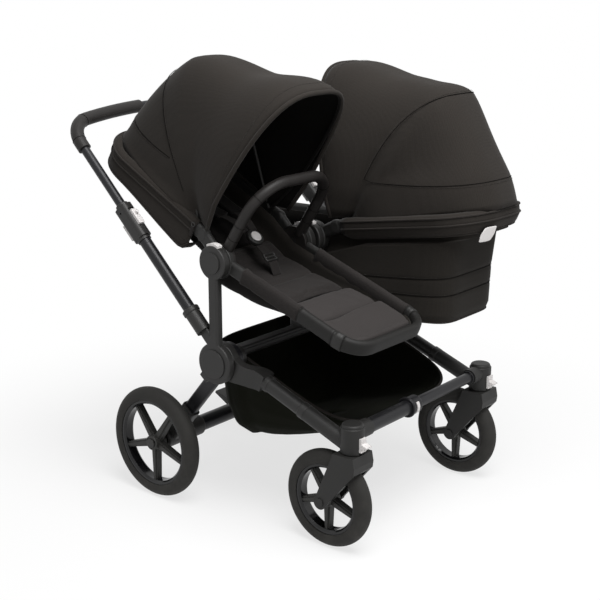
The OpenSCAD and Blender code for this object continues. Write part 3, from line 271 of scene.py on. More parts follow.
def weave_group():
    """Threads that cross in three directions and wander a little, with flecks of darker and lighter tone, and
    painted shade between the threads.
    """
    group, source, sink = new_group(
        "weave",
        [("Threads", "Float", 1500.0), ("Flecks", "Float", 0.5)],
        [("Height", "Float"), ("Shade", "Float")],
    )
    point = object_point(group)
    split = group.nodes.new("ShaderNodeSeparateXYZ")
    group.links.new(point, split.inputs[0])
    fleck = noise(group, point, 420.0, 2.0, 0.7)
    wander = math_node(group, "MULTIPLY", fleck, 7.0)
    waves = []
    for axis, size in (("X", 1.0), ("Y", 1.0), ("Z", 1.37)):
        scaled = math_node(group, "MULTIPLY", split.outputs[axis], source.outputs["Threads"])
        phase = math_node(group, "ADD", math_node(group, "MULTIPLY", scaled, size), wander)
        waves.append(math_node(group, "SINE", phase))
    ribs = math_node(group, "ADD", math_node(group, "ADD", waves[0], waves[1]), waves[2])
    group.links.new(math_node(group, "MULTIPLY_ADD", ribs, 0.17, 0.5), sink.inputs["Height"])
    patch = math_node(group, "MULTIPLY", noise(group, point, 7.0, 2.0, 0.5), 0.35)
    centred = math_node(group, "SUBTRACT", math_node(group, "ADD", fleck, patch), 0.68)
    strong = math_node(group, "MULTIPLY", centred, source.outputs["Flecks"])
    # painted shade: the hollows between the threads are a little darker and their crowns lighter
    shade = math_node(group, "ADD", strong, math_node(group, "MULTIPLY", ribs, 0.03))
    group.links.new(math_node(group, "ADD", shade, 1.0), sink.inputs["Shade"])
    return group


def grain_group():
    """Fine spark-eroded grain of moulded plastic, with faint cloudy variation."""
    group, source, sink = new_group(
        "moulded_grain",
        [("Grain", "Float", 900.0), ("Uneven", "Float", 0.2)],
        [("Height", "Float"), ("Shade", "Float"), ("Rough", "Float")],
    )
    point = object_point(group)
    group.links.new(noise(group, point, source.outputs["Grain"], 2.0, 0.5), sink.inputs["Height"])
    cloud = noise(group, point, 11.0, 4.0, 0.65)
    centred = math_node(group, "SUBTRACT", cloud, 0.5)
    shift = math_node(group, "MULTIPLY", centred, source.outputs["Uneven"])
    group.links.new(math_node(group, "ADD", shift, 1.0), sink.inputs["Shade"])
    group.links.new(math_node(group, "MULTIPLY", shift, 0.6), sink.inputs["Rough"])
    return group


def leather_group():
    """Pebbled leather: small cells with creases between them, and painted shade in the creases."""
    group, source, sink = new_group(
        "pebbled_leather", [("Pebbles", "Float", 700.0)], [("Height", "Float"), ("Shade", "Float")]
    )
    point = object_point(group)
    cells = group.nodes.new("ShaderNodeTexVoronoi")
    cells.feature = "SMOOTH_F1"
    group.links.new(point, cells.inputs["Vector"])
    group.links.new(source.outputs["Pebbles"], cells.inputs["Scale"])
    height = math_node(group, "SUBTRACT", 1.0, cells.outputs["Distance"])
    group.links.new(height, sink.inputs["Height"])
    cloud = noise(group, point, 38.0, 3.0, 0.6)
    shift = math_node(group, "MULTIPLY", math_node(group, "SUBTRACT", cloud, 0.5), 0.5)
    # painted shade: the pebbles' crowns are lighter and the creases between them darker, added to the cloudy
    # tone
    shade = math_node(group, "ADD", shift, math_node(group, "MULTIPLY", height, 0.25))
    group.links.new(math_node(group, "ADD", shade, 0.9), sink.inputs["Shade"])
    return group


def edge_group():
    """Softened edges, and a mask that is 1 where handling has rubbed an edge."""
    group, source, sink = new_group(
        "edge_finish", [("Radius", "Float", 0.0012)], [("Normal", "Vector"), ("Worn", "Float")]
    )
    bevel = group.nodes.new("ShaderNodeBevel")
    bevel.samples = 4
    group.links.new(source.outputs["Radius"], bevel.inputs["Radius"])
    group.links.new(bevel.outputs[0], sink.inputs["Normal"])
    plain = group.nodes.new("ShaderNodeNewGeometry").outputs["Normal"]
    along_plain = vector_node(group, "DOT_PRODUCT", bevel.outputs[0], plain)["Value"]
    rub = noise(group, object_point(group), 130.0, 4.0, 0.7)
    turn = math_node(group, "MULTIPLY", math_node(group, "SUBTRACT", 1.0, along_plain), 5.0)
    worn = math_node(group, "MINIMUM", math_node(group, "MULTIPLY", turn, rub), 1.0)
    group.links.new(worn, sink.inputs["Worn"])
    return group


def dust_group():
    """Thin dust that settles low on the pram and in patches."""
    group, source, sink = new_group("road_dust", [("Height", "Float", 0.35)], [("Mask", "Float")])
    point = object_point(group)
    split = group.nodes.new("ShaderNodeSeparateXYZ")
    group.links.new(point, split.inputs[0])
    limits = {"From Max": source.outputs["Height"], "To Min": 1.0, "To Max": 0.0}
    low = remap(group, split.outputs["Z"], limits)
    patch = noise(group, point, 24.0, 5.0, 0.7)
    raised = math_node(group, "MULTIPLY", math_node(group, "SUBTRACT", patch, 0.42), 3.0)
    clipped = math_node(group, "MINIMUM", math_node(group, "MAXIMUM", raised, 0.0), 1.0)
    group.links.new(math_node(group, "MULTIPLY", low, clipped), sink.inputs["Mask"])
    return group


WEAVE, GRAIN, LEATHER = weave_group(), grain_group(), leather_group()
EDGE, DUST = edge_group(), dust_group()
SHEEN_ROUGH = 0.45
PLASTIC_DUST, RUBBER_DUST = (0.12, 0.11, 0.1), (0.075, 0.07, 0.062)
WHEEL_MATT, WHEEL_WORN, RIM_GLOSS = (0.02, 0.0195, 0.0175), (0.035, 0.034, 0.032), (0.005, 0.005, 0.0055)
RUBBER = (0.024, 0.0232, 0.0215)


def place_group(tree, group, **values):
    """Places a shared effect in a material, with the material's own values."""
    node = tree.nodes.new("ShaderNodeGroup")
    node.node_tree = group
    fill(tree, node, values)
    return node


def tinted(tree, colour, shade):
    """The colour made darker or lighter by a factor that changes over the surface."""
    node = tree.nodes.new("ShaderNodeVectorMath")
    node.operation = "SCALE"
    node.inputs[0].default_value = colour
    tree.links.new(shade, node.inputs["Scale"])
    return node.outputs[0]


def mixed(tree, share, first, second):
    """Two colours mixed by a share that changes over the surface."""
    node = tree.nodes.new("ShaderNodeMix")
    node.data_type = "RGBA"
    tree.links.new(share, node.inputs["Factor"])
    for label, value in (("A", first), ("B", second)):
        socket = [s for s in node.inputs if s.name == label and s.type == "RGBA"][0]
        feed(tree, socket, (*value, 1) if isinstance(value, tuple) else value)
    return [s for s in node.outputs if s.type == "RGBA"][0]


def new_material(name, rough, metal=0.0, sheen=0.0, level=0.5):
    """A material with the shader's plain values, ready for its patterns."""
    material = bpy.data.materials.new(name)
    material.use_nodes = True
    tree = material.node_tree
    shader = tree.nodes["Principled BSDF"]
    fill(tree, shader, {"Roughness": rough, "Metallic": metal, "Specular IOR Level": level})
    if sheen:
        fill(tree, shader, {"Sheen Weight": sheen, "Sheen Roughness": SHEEN_ROUGH})
    return material, tree, shader


def bump(tree, height, strength, distance, normal=None):
    """Turns a pattern's height into small bumps, over softened edges where they are given."""
    node = tree.nodes.new("ShaderNodeBump")
    fill(tree, node, {"Strength": strength, "Distance": distance, "Height": height})
    if normal is not None:
        feed(tree, node.inputs["Normal"], normal)
    return node.outputs[0]


def fabric(name, colour, threads=1500.0, flecks=0.5, rough=0.86, sheen=0.07, depth=0.0004):
    """Woven cloth with flecks and a soft sheen."""
    material, tree, shader = new_material(name, rough, sheen=sheen, level=0.04)
    cloth = place_group(tree, WEAVE, Threads=threads, Flecks=flecks)
    paint = tinted(tree, colour, cloth.outputs["Shade"])
    fill(tree, shader, {"Base Color": paint, "Normal": bump(tree, cloth.outputs["Height"], 0.45, depth)})
    return material


def plastic(name, colour, worn, rough=0.48, grain=900.0, uneven=0.25, dust=0.0, metal=0.0):
    """Moulded or coated surface with grain, rubbed edges and, low on the pram, dust."""
    material, tree, shader = new_material(name, rough, metal=metal, level=0.35)
    skin = place_group(tree, GRAIN, Grain=grain, Uneven=uneven)
    rim = place_group(tree, EDGE, Radius=0.0012)
    paint = mixed(tree, rim.outputs["Worn"], tinted(tree, colour, skin.outputs["Shade"]), worn)
    if dust:
        film = place_group(tree, DUST, Height=dust)
        paint = mixed(tree, math_node(tree, "MULTIPLY", film.outputs["Mask"], 0.5), paint, PLASTIC_DUST)
    uneven_rough = math_node(tree, "ADD", skin.outputs["Rough"], rough)
    grained = bump(tree, skin.outputs["Height"], 0.35, 0.00015, rim.outputs["Normal"])
    fill(tree, shader, {"Base Color": paint, "Roughness": uneven_rough, "Normal": grained})
    return material


def axle_radius(tree, axle):
    """Distance of each point from the axle line, in metres."""
    away = vector_node(tree, "SUBTRACT", object_point(tree), (0, axle[1] * MM, axle[2] * MM))["Vector"]
    flat = vector_node(tree, "MULTIPLY", away, (0, 1, 1))["Vector"]
    return vector_node(tree, "LENGTH", flat)["Value"]


def wheel_finish(name, axle):
    """Matt charcoal hub and spokes that turn to a gloss black rim at its inner face."""
    material, tree, shader = new_material(name, 0.5, level=0.35)
    skin = place_group(tree, GRAIN, Grain=900.0, Uneven=0.25)
    edge = place_group(tree, EDGE, Radius=0.0015)
    rim_inner = axle[2] - TYRE_T - RIM_T
    rim = math_node(tree, "GREATER_THAN", axle_radius(tree, axle), rim_inner * MM)
    matt = tinted(tree, WHEEL_MATT, skin.outputs["Shade"])
    matt = mixed(tree, edge.outputs["Worn"], matt, WHEEL_WORN)
    paint = mixed(tree, rim, matt, RIM_GLOSS)
    rough = remap(tree, rim, {"To Min": 0.52, "To Max": 0.16})
    grained = bump(tree, skin.outputs["Height"], 0.3, 0.00012, edge.outputs["Normal"])
    fill(tree, shader, {"Base Color": paint, "Roughness": rough, "Normal": grained})
    return material


def tyre_finish(name, axle, ring_pitch=0.0042):
    """Grained rubber with fine moulded rings round the sidewalls."""
    material, tree, shader = new_material(name, 0.72, level=0.22)
    skin = place_group(tree, GRAIN, Grain=480.0, Uneven=0.45)
    film = place_group(tree, DUST, Height=0.3)
    paint = tinted(tree, RUBBER, skin.outputs["Shade"])
    paint = mixed(tree, math_node(tree, "MULTIPLY", film.outputs["Mask"], 0.35), paint, RUBBER_DUST)
    out = math_node(tree, "MULTIPLY", axle_radius(tree, axle), 2 * math.pi / ring_pitch)
    rings = math_node(tree, "MULTIPLY", math_node(tree, "SINE", out), 0.25)
    height = math_node(tree, "ADD", rings, skin.outputs["Height"])
    fill(tree, shader, {"Base Color": paint, "Normal": bump(tree, height, 0.35, 0.0003)})
    return material


def leather(name, colour, rough=0.5):
    """Pebbled leather of the grips and sleeves."""
    material, tree, shader = new_material(name, rough, level=0.25)
    hide = place_group(tree, LEATHER, Pebbles=620.0)
    paint = tinted(tree, colour, hide.outputs["Shade"])
    fill(tree, shader, {"Base Color": paint, "Normal": bump(tree, hide.outputs["Height"], 0.5, 0.0004)})
    return material


CHARCOAL = plastic("charcoal_plastic", (0.016, 0.0155, 0.0148), (0.032, 0.031, 0.03), dust=0.3)
TUBE = plastic(
    "black_anodised_tube",
    (0.011, 0.011, 0.0125),
    (0.03, 0.03, 0.032),
    rough=0.38,
    grain=1500.0,
    uneven=0.3,
    metal=0.25,
)
PALE = plastic("light_grey_plastic", (0.70, 0.675, 0.665), (0.78, 0.76, 0.75), rough=0.42, uneven=0.1)
FRONT_TYRE = tyre_finish("front_tyre_rubber", FRONT_AXLE)
REAR_TYRE = tyre_finish("rear_tyre_rubber", REAR_AXLE)
FRONT_WHEEL = wheel_finish("front_wheel_finish", FRONT_AXLE)
REAR_WHEEL = wheel_finish("rear_wheel_finish", REAR_AXLE)
HUB_BLACK = plastic("frame_arm_plastic", (0.012, 0.0117, 0.011), (0.024, 0.024, 0.023), rough=0.55)
GRIP = leather("grip_leather", (0.013, 0.0115, 0.0108))
FABRIC = fabric("canopy_fabric", (0.027, 0.0238, 0.0212))
# canopy fabric painted darker as painted shade, for the insides of the canopies and the cot tub and for the
# hood bows
CANOPY_FABRIC_PAINTED_SHADE = fabric("canopy_fabric_painted_shade", (0.006, 0.0055, 0.005), sheen=0.05)
TUB_CLOTH = fabric("tub_fabric", (0.021, 0.0188, 0.0165), threads=1300.0)
SEAT_CLOTH = fabric("seat_melange", (0.026, 0.0235, 0.0225), threads=1150.0, flecks=1.1)
# seat melange painted darker as painted shade, for the back pad, the seat tub's inner face and the shoulder
# pads in the canopy's shade
SEAT_CLOTH_PAINTED_SHADE = fabric("seat_melange_painted_shade", (0.012, 0.011, 0.0105), threads=1150.0, flecks=1.1)
FOOT_CLOTH = fabric("footrest_rib", (0.04, 0.0362, 0.0352), threads=1700.0, flecks=0.6)
MESH_CLOTH = fabric("basket_fabric", (0.008, 0.0085, 0.0055), threads=1100.0, sheen=0.03)
WEBBING = fabric("strap_webbing", (0.024, 0.0218, 0.021), threads=2600.0, flecks=0.7, depth=0.0006)
THREAD = fabric("seam_thread", (0.032, 0.0285, 0.026), threads=5200.0, sheen=0.15)
SEAM = fabric("seam_shadow", (0.007, 0.0065, 0.006), sheen=0.0)
PIPING = fabric("edge_piping", (0.029, 0.0258, 0.0235), threads=2400.0)
SLEEVE = leather("sleeve_leather", (0.008, 0.0076, 0.007), rough=0.6)

NODE_FINISHES = (
    (
        CHARCOAL,
        "right_post left_post centre_posts centre_beam hub_pins right_clamp_housing left_clamp_housing"
        " right_axle_bracket left_axle_bracket brake_pedal buckle right_front_arm left_front_arm",
    ),
    (
        TUBE,
        "right_lower_tube left_lower_tube handlebar_tube front_cross_tube right_rear_leg left_rear_leg"
        " rear_cross_tube",
    ),
    # the hood bows are the canopy fabric painted darker: painted shade
    (CANOPY_FABRIC_PAINTED_SHADE, "seat_hood_bow cot_hood_bow"),
    (HUB_BLACK, "seat_frame cot_frame right_caster_housing left_caster_housing right_fork left_fork"),
    (
        PALE,
        "right_height_lever left_height_lever right_fold_slider left_fold_slider right_seat_release"
        " centre_seat_release centre_cot_release left_cot_release width_lock_button right_swivel_lock"
        " left_swivel_lock buckle_button",
    ),
    (GRIP, "right_grip left_grip bumper_bar"),
    (FRONT_TYRE, "right_front_tyre left_front_tyre"),
    (REAR_TYRE, "right_rear_tyre left_rear_tyre"),
    (FRONT_WHEEL, "right_front_wheel left_front_wheel"),
    (REAR_WHEEL, "right_rear_wheel left_rear_wheel"),
)
for material, names in NODE_FINISHES:
    for name in names.split():
        nodes[name].data.materials.clear()
        nodes[name].data.materials.append(material)


# Mesh makers


def unit(vectors):
    """The same directions with a length of 1."""
    return vectors / np.linalg.norm(vectors, axis=-1, keepdims=True)


def full_turn(count):
    """Angles spaced evenly all the way round."""
    return np.linspace(0, 2 * np.pi, count, endpoint=False)


def circle(centre, ahead, side, radius, count):
    """Points of a circle square to a direction, starting at one side of it."""
    g, other = full_turn(count), np.cross(ahead, side)
    return centre + radius * (np.outer(np.cos(g), side) + np.outer(np.sin(g), other))


def build(name, points, faces, place, material):
    """A smooth mesh piece from points in millimetres, set down by a placing matrix."""
    mesh = bpy.data.meshes.new(name)
    turn = np.array(place, float)
    local = np.asarray(points, float).reshape(-1, 3) * MM
    mesh.from_pydata((local @ turn[:3, :3].T + turn[:3, 3]).tolist(), [], [tuple(f) for f in faces])
    mesh.validate()
    mesh.polygons.foreach_set("use_smooth", [True] * len(mesh.polygons))
    mesh.materials.append(material)
    piece = bpy.data.objects.new(name, mesh)
    scene.collection.objects.link(piece)
    return piece


def grid_faces(rows, cols, ring=False, flip=False, closed=False):
    """Four-sided faces of a grid of points; a ring joins its columns up, a closed one its rows."""
    faces = []
    for i in range(rows if closed else rows - 1):
        this, other = i * cols, (i + 1) % rows * cols
        for j in range(cols if ring else cols - 1):
            after = (j + 1) % cols
            quad = (this + j, this + after, other + after, other + j)
            faces.append(quad[::-1] if flip else quad)
    return faces


def loft(name, rows, place, material, ring=False, caps=False, flip=False, closed=False):
    """A skin over rows of points, in millimetres."""
    rows = np.asarray(rows, float)
    m, n = rows.shape[:2]
    faces = grid_faces(m, n, ring, flip, closed)
    if caps:
        first, last = list(range(n)), list(range((m - 1) * n, m * n))
        faces += [tuple(first if flip else first[::-1]), tuple(last[::-1] if flip else last)]
    return build(name, rows, faces, place, material)


def settle(piece):
    """Turns what the modifiers make into the piece's own mesh."""
    bpy.context.view_layer.update()
    graph = bpy.context.evaluated_depsgraph_get()
    mesh = bpy.data.meshes.new_from_object(piece.evaluated_get(graph))
    piece.modifiers.clear()
    piece.data = mesh
    mesh.polygons.foreach_set("use_smooth", [True] * len(mesh.polygons))
    return piece


def thicken(piece, thick, shaded_inner=None):
    """Gives a skin its thickness inwards, with its inner face in a material of its own where one is named;
    the callers name cloths painted darker, as painted shade.
    """
    solid = piece.modifiers.new("thick", "SOLIDIFY")
    solid.thickness, solid.offset = thick * MM, -1.0
    if shaded_inner is not None:
        piece.data.materials.append(shaded_inner)
        solid.material_offset, solid.material_offset_rim = 1, 0
    return settle(piece)


def tube_rows(path, radius, sides=8, closed=False):
    """Rings of a tube along a path in millimetres."""
    path = np.asarray(path, float)
    if closed:
        ahead = np.roll(path, -1, 0) - np.roll(path, 1, 0)
    else:
        ahead = np.gradient(path, axis=0)
    ahead = unit(ahead)
    side = unit(np.cross(ahead[0], (0.31, 0.17, 0.93)))
    rings = []
    for spot, run in zip(path, ahead):
        side = unit(side - run * (side @ run))
        rings.append(circle(spot, run, side, radius, sides))
    return np.array(rings)


def tube(name, path, radius, place, material, sides=8, closed=False):
    """A round tube along a path, with closed ends or closed into a ring."""
    rings = tube_rows(path, radius, sides, closed)
    return loft(name, rings, place, material, ring=True, caps=not closed, closed=closed)


def along(path, pitch):
    """Points spaced evenly along a path, with the direction at each."""
    path = np.asarray(path, float)
    steps = np.linalg.norm(np.diff(path, axis=0), axis=1)
    reach = np.concatenate([[0], np.cumsum(steps)])
    count = max(2, int(reach[-1] / pitch))
    at = (np.arange(count) + 0.5) * reach[-1] / count
    points = np.stack([np.interp(at, reach, path[:, k]) for k in range(3)], 1)
    return points, unit(np.gradient(points, axis=0))


def stitches(name, path, place, pitch=5.0, length=3.2, radius=0.55, sides=5):
    """A row of sewn stitches, each a small spindle, joined in one piece."""
    points, ahead = along(path, pitch)
    turns = [2 * math.pi * k / sides for k in range(sides)]
    verts, faces = [], []
    for centre, run in zip(points, ahead):
        side = unit(np.cross(run, (0.3, 0.2, 0.93)))
        other = np.cross(run, side)
        base = len(verts)
        for share, girth in ((-0.5, 0.25), (-0.32, 1.0), (0.32, 1.0), (0.5, 0.25)):
            for turn in turns:
                out = side * math.cos(turn) + other * math.sin(turn)
                verts.append(centre + run * length * share + radius * girth * out)
        faces += [tuple(base + k for k in quad) for quad in grid_faces(4, sides, ring=True)]
        faces.append(tuple(base + k for k in range(sides - 1, -1, -1)))
        faces.append(tuple(base + 3 * sides + k for k in range(sides)))
    return build(name, verts, faces, place, THREAD)


def attach(piece, body):
    """Lets a piece move with a body."""
    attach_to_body(piece, body)


def ridge(away, width):
    """1 on a line and falling off smoothly to both sides of it."""
    return np.exp(-((away / width) ** 2))


def smooth(value, low, high, first=0.0, last=1.0):
    """Runs from the first value to the last, level at both ends."""
    k = np.clip((np.asarray(value, float) - low) / (high - low), 0, 1)
    return first + (last - first) * k * k * (3 - 2 * k)


def power(value, exponent):
    """A power that keeps the sign, for rounded squares."""
    return np.sign(value) * np.abs(value) ** exponent


def soft_corners(half_x, half_y, exponent, count):
    """Points round a rectangle with soft corners."""
    f = full_turn(count)
    return half_x * power(np.cos(f), exponent), half_y * power(np.sin(f), exponent)


# Forms of the carriers, as in the part's source: u runs to the head end, w up from the frame


def frame_line(u):
    """Height of the frame's middle: level at the foot, then the bend and the head slope."""
    u = np.asarray(u, float)
    past_bend = BEND_Z + (u - BEND_Y) * math.tan(HEAD_SLOPE)
    return np.where(u < 0, 0.0, np.where(u < BEND_Y, u * math.tan(BEND_TURN), past_bend))


def corner(u, end, r):
    """How much narrower a tub is where its end is rounded."""
    k = np.minimum(r, np.maximum(0, r - np.abs(end - np.asarray(u, float))))
    return np.sqrt(np.maximum(0, r * r - k * k)) - r


def inside_hw(u):
    """Half width inside the frame."""
    rounding = np.minimum(corner(u, TUB_FOOT, FOOT_R), corner(u, TUB_HEAD, HEAD_R))
    return smooth(u, 0, 60, ARM_IN - 0.7, TUB_HW) + rounding


def seat_depth(u):
    """Depth of the seat's tub below the frame: deepest under the seat, shallow at both ends."""
    u = np.asarray(u, float)
    foot_rise = smooth(u, TUB_FOOT, TUB_FOOT + 34, 0.3, 1)
    head_rise = smooth(u, TUB_HEAD - 44, TUB_HEAD, 1, 0.2)
    legs = smooth(u, LEG_U, KNEE_U, LEG_DEEP, SEAT_DEEP)
    seat = SEAT_DEEP + SEAT_BELLY * np.sin(np.pi * (u - KNEE_U) / (BACK_U - KNEE_U))
    back = smooth(u, BACK_U, NAPE_U, SEAT_DEEP, HEAD_DEEP)
    return np.minimum(foot_rise, head_rise) * np.where(u < KNEE_U, legs, np.where(u < BACK_U, seat, back))


def tub_floor(u, x):
    """Height of the seat tub's inside, along the seat and across it."""
    k = np.minimum(1, np.abs(x) / (inside_hw(u) - TUB_WALL))
    return frame_line(u) - (seat_depth(u) - TUB_WALL) * (1 - k**TUB_ROUND) ** (1 / TUB_ROUND)


def hood_reach(a, arch):
    """Reach of a canopy from its pivot line, at each angle."""
    a = np.asarray(a, float)
    k = np.maximum(0, (a - HOOD_BASE_A) / (arch.rear_a - HOOD_BASE_A))
    middle = (arch.rear_a + arch.front_a) / 2
    behind = arch.back + (arch.rear - arch.back) * k - HOOD_BELLY * np.sin(np.pi * np.clip(k, 0, 1))
    sinking = smooth(a, arch.rear_a, middle, arch.rear, arch.sag)
    rising = smooth(a, middle, arch.front_a, arch.sag, arch.front)
    return np.where(a < arch.rear_a, behind, np.where(a < middle, sinking, rising))


def arch_shares(f):
    """Shares of half width and reach round the arch; beyond 0 and 1 the sides run down to the frame."""
    f = np.asarray(f, float)
    g = np.pi * (ARCH_START + (1 - 2 * ARCH_START) * np.clip(f, 0, 1))
    below = np.maximum(0, np.maximum(-f, f - 1))
    across = -power(np.cos(g), ARCH_ROUND) * (1 - 0.55 * below)
    return across, power(np.sin(g), ARCH_ROUND) - below


def hood_half(a, arch):
    """Half width of a canopy, which flares from the rear bow to the brim."""
    flare = smooth(a, arch.rear_a, arch.front_a, HOOD_HW, BRIM_HW)
    return np.where(np.asarray(a) < arch.rear_a, HOOD_HW, flare)


def hood_point(a, f, arch, inset=0.0):
    """Points of a canopy at angles about its pivot line and shares round its arch."""
    across, up = arch_shares(f)
    across = (hood_half(a, arch) - inset) * across
    reach = (hood_reach(a, arch) - inset) * up
    ahead = CORNER_REACH * smooth(a, arch.rear_a, arch.front_a) * np.clip(1 - up, 0, 1) ** 1.5
    across, reach, angle, ahead = np.broadcast_arrays(across, reach, np.radians(a), ahead)
    return np.stack([across, HOOD_Y - ahead + reach * np.cos(angle), HOOD_Z + reach * np.sin(angle)], -1)


def hood_low(f, arch):
    """Angle of a canopy's lower edge, which lies on the fabric edge of the frame."""
    up = arch_shares(f)[1]
    rise = np.minimum(1, HOOD_EDGE / ((arch.back - HOOD_T) * up))
    return HOOD_BASE_A + np.degrees(np.arcsin(rise))


# Canopies: shares round the arch at which a canopy has points, and its rows behind and ahead of the rear bow
HOOD_SHARES = np.concatenate([[-0.186, -0.12, -0.06], np.linspace(0, 1, 73), [1.06, 1.12, 1.186]])
REAR_ROWS, FRONT_ROWS = 18, 27
SEAM_W, SEAM_DIP = 5.0, 0.8
PUCKERS, PUCKER_DEEP, PUCKER_W = 26, 0.5, 26.0
# the level seam's height over the pivot line at the sides, and its rise in the middle
LEVEL_Z, LEVEL_RISE = 159, 18
# thickness or radius of cover, hem and seams, and how far they and the stitches lie inside the plain form
COVER_T, HEM_R, SEAM_R = 2.0, 5.6, 0.9
COVER_IN, HEM_IN, HEM_AHEAD, SEAM_IN, STITCH_IN = 0.9, 2.0, 3.4, 1.2, 0.4


def level_height(f):
    """Height of the level seam over the pivot line, at each share of the arch."""
    return LEVEL_Z + LEVEL_RISE * np.sin(np.pi * f) ** 2


def hood_seam(arch, f, top):
    """Angle of the level seam on the back panel, below the angle of the seam over the bow."""
    low, high = np.full_like(f, HOOD_BASE_A), np.array(top, float)
    for _ in range(30):
        middle = (low + high) / 2
        under = hood_point(middle, f, arch)[:, 2] < level_height(f)
        low, high = np.where(under, middle, low), np.where(under, high, middle)
    return (low + high) / 2


def seam_places(arch, seam_a, lean):
    """Angles of the seam over the bow and of the level seam, and where each of them is sewn."""
    shares = HOOD_SHARES
    bow = seam_a + lean * np.cos(np.pi * np.clip(shares, 0, 1)) ** 2
    level = hood_seam(arch, shares, bow)
    meets = hood_point(bow, shares, arch)[:, 2] > level_height(shares)
    # where the seam leans forward it ends on the level seam
    sewn = meets if lean > 0 else shares == np.clip(shares, 0, 1)
    return bow, level, meets, sewn


def canopy_angles(arch):
    """Angles of a canopy's points, from its lower edge over the rear bow to the brim."""
    low = hood_low(HOOD_SHARES, arch)
    rows = [low + (arch.rear_a - low) * step for step in np.linspace(0, 1, REAR_ROWS + 1)[:-1]]
    for step in np.linspace(0, 1, FRONT_ROWS):
        rows.append(np.full_like(low, arch.rear_a + (arch.front_a - arch.rear_a) * step))
    return np.array(rows)


def canopy_inset(angles, arch, seams, taut, spread):
    """How far the cloth lies inside the canopy's plain form."""
    shares = HOOD_SHARES
    bow, level, meets, sewn = seams
    reach = hood_reach(angles, arch) * arch_shares(shares)[1]
    away = np.radians(angles - bow) * reach
    drop = np.radians(angles - level) * reach
    over_edge = np.radians(angles - angles[0]) * reach
    inset = COVER_IN + 0 * angles
    # the cloth dips at its seams and puckers softly beside them
    inset += SEAM_DIP * ridge(away, SEAM_W) * sewn
    pucker = PUCKER_DEEP * sewn * np.sin(PUCKERS * np.pi * np.clip(shares, 0, 1))
    inset += pucker * ridge(away, PUCKER_W) * (1 - ridge(away, SEAM_W))
    inset += np.where((angles < bow) & meets, SEAM_DIP * ridge(drop, SEAM_W), 0)
    # its lower edge spreads over the fabric edge of the frame
    inset -= spread * ridge(over_edge, 15.0) * (angles < arch.rear_a)
    # the cloth is drawn straight between the level seam and the rear bow, and just ahead of the bow
    above = np.clip((angles - level) / np.maximum(arch.rear_a - level, 1), 0, 1)
    inset += taut * np.clip(shares * 6, 0, 1) * np.clip(6 - shares * 6, 0, 1) * np.sin(np.pi * above)
    inset += taut * 0.9 * ridge(angles - arch.rear_a - 11, 7.0)
    return inset


def path_length(points):
    """Length along a row of points, in metres."""
    return np.linalg.norm(np.diff(points, axis=0), axis=1).sum() * MM


def make_canopy(side, place, arch, seam_a, lean, taut, spread):
    """Cover, hem, seams and stitches of one canopy; the hem moves with the hood bow."""
    shares, angles = HOOD_SHARES, canopy_angles(arch)
    seams = seam_places(arch, seam_a, lean)
    bow, level, meets, sewn = seams
    inset = canopy_inset(angles, arch, seams, taut, spread)
    cover = loft(side + "_canopy", hood_point(angles, shares, arch, inset), place, FABRIC, flip=True)
    # the cover's inner face is the canopy fabric painted darker: painted shade
    cover = thicken(cover, COVER_T, CANOPY_FABRIC_PAINTED_SHADE)
    brim_a = np.full_like(shares, arch.front_a)
    turn = math.radians(arch.front_a)
    forward = np.array([0, -math.sin(turn), math.cos(turn)])
    rolled = hood_point(brim_a, shares, arch, HEM_IN) + forward * HEM_AHEAD
    hem = tube(side + "_canopy_hem", rolled, HEM_R, place, FABRIC, sides=12)
    over_bow = hood_point(bow, shares, arch, SEAM_IN)[sewn]
    level_line = hood_point(level, shares, arch, SEAM_IN)[meets]
    if lean > 0:
        level_line = np.concatenate([over_bow[:1], level_line, over_bow[-1:]])
    pieces = [cover]
    for label, path in (("bow_seam", over_bow), ("level_seam", level_line)):
        pieces.append(tube(f"{side}_{label}", path, SEAM_R, place, SEAM, sides=6))
    for label, path in (
        ("hem_stitch", hood_point(brim_a - 4.2, shares, arch, 0.3)[3:-3]),
        ("bow_stitch", hood_point(bow + 0.8, shares, arch, STITCH_IN)[sewn]),
        ("level_stitch", hood_point(level - 0.9, shares, arch, STITCH_IN)[meets]),
    ):
        pieces.append(stitches(f"{side}_{label}", path, place))
    bow_body = side + "_hood_bow_body"
    attach(hem, bow_body)
    for piece in pieces:
        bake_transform(piece)
    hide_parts(side + "_hood")
    middle = len(shares) // 2
    run = path_length(hood_point(angles[:, middle], shares[middle], arch))
    span = path_length(hood_point(angles[REAR_ROWS + 2], shares, arch))


make_canopy("seat", SEAT, SEAT_ARCH, seam_a=47.5, lean=-3.0, taut=2.0, spread=7.5)
make_canopy("cot", COT, COT_ARCH, seam_a=52.5, lean=11.0, taut=9.0, spread=0.0)


# Fabric edge round the head loops
WRAP_R = ARM_W / 2 + 3.4


def head_path(start=24.0, steps=18):
    """Middle of the head loop, with the outward angle at each point."""
    straight, inner = HEAD_LEN - HEAD_R, ARM_HW - HEAD_R
    path = [(ARM_HW, s, 0.0) for s in np.linspace(start, straight, steps)]
    right_turns = np.linspace(90, 180, steps + 1)
    for middle, turns in ((inner, right_turns[1:] - 90), (-inner, right_turns)):
        for a in turns:
            g = math.radians(a)
            path.append((middle + HEAD_R * math.cos(g), straight + HEAD_R * math.sin(g), a))
    path += [(-ARM_HW, s, 180.0) for s in np.linspace(straight, start, steps)[1:]]
    return np.array(path)


def head_place(place):
    """Placing matrix of a carrier's head loop, past the bend."""
    return place @ Matrix.Translation((0, BEND_Y * MM, BEND_Z * MM)) @ Matrix.Rotation(HEAD_SLOPE, 4, "X")


def sweep(path, offsets, heights):
    """Points at outward offsets and heights, all along the head loop."""
    a = np.radians(path[:, 2])
    x = path[:, 0] + offsets * np.cos(a)
    y = path[:, 1] + offsets * np.sin(a)
    return np.stack([x, y, np.broadcast_to(heights, x.shape)], -1)


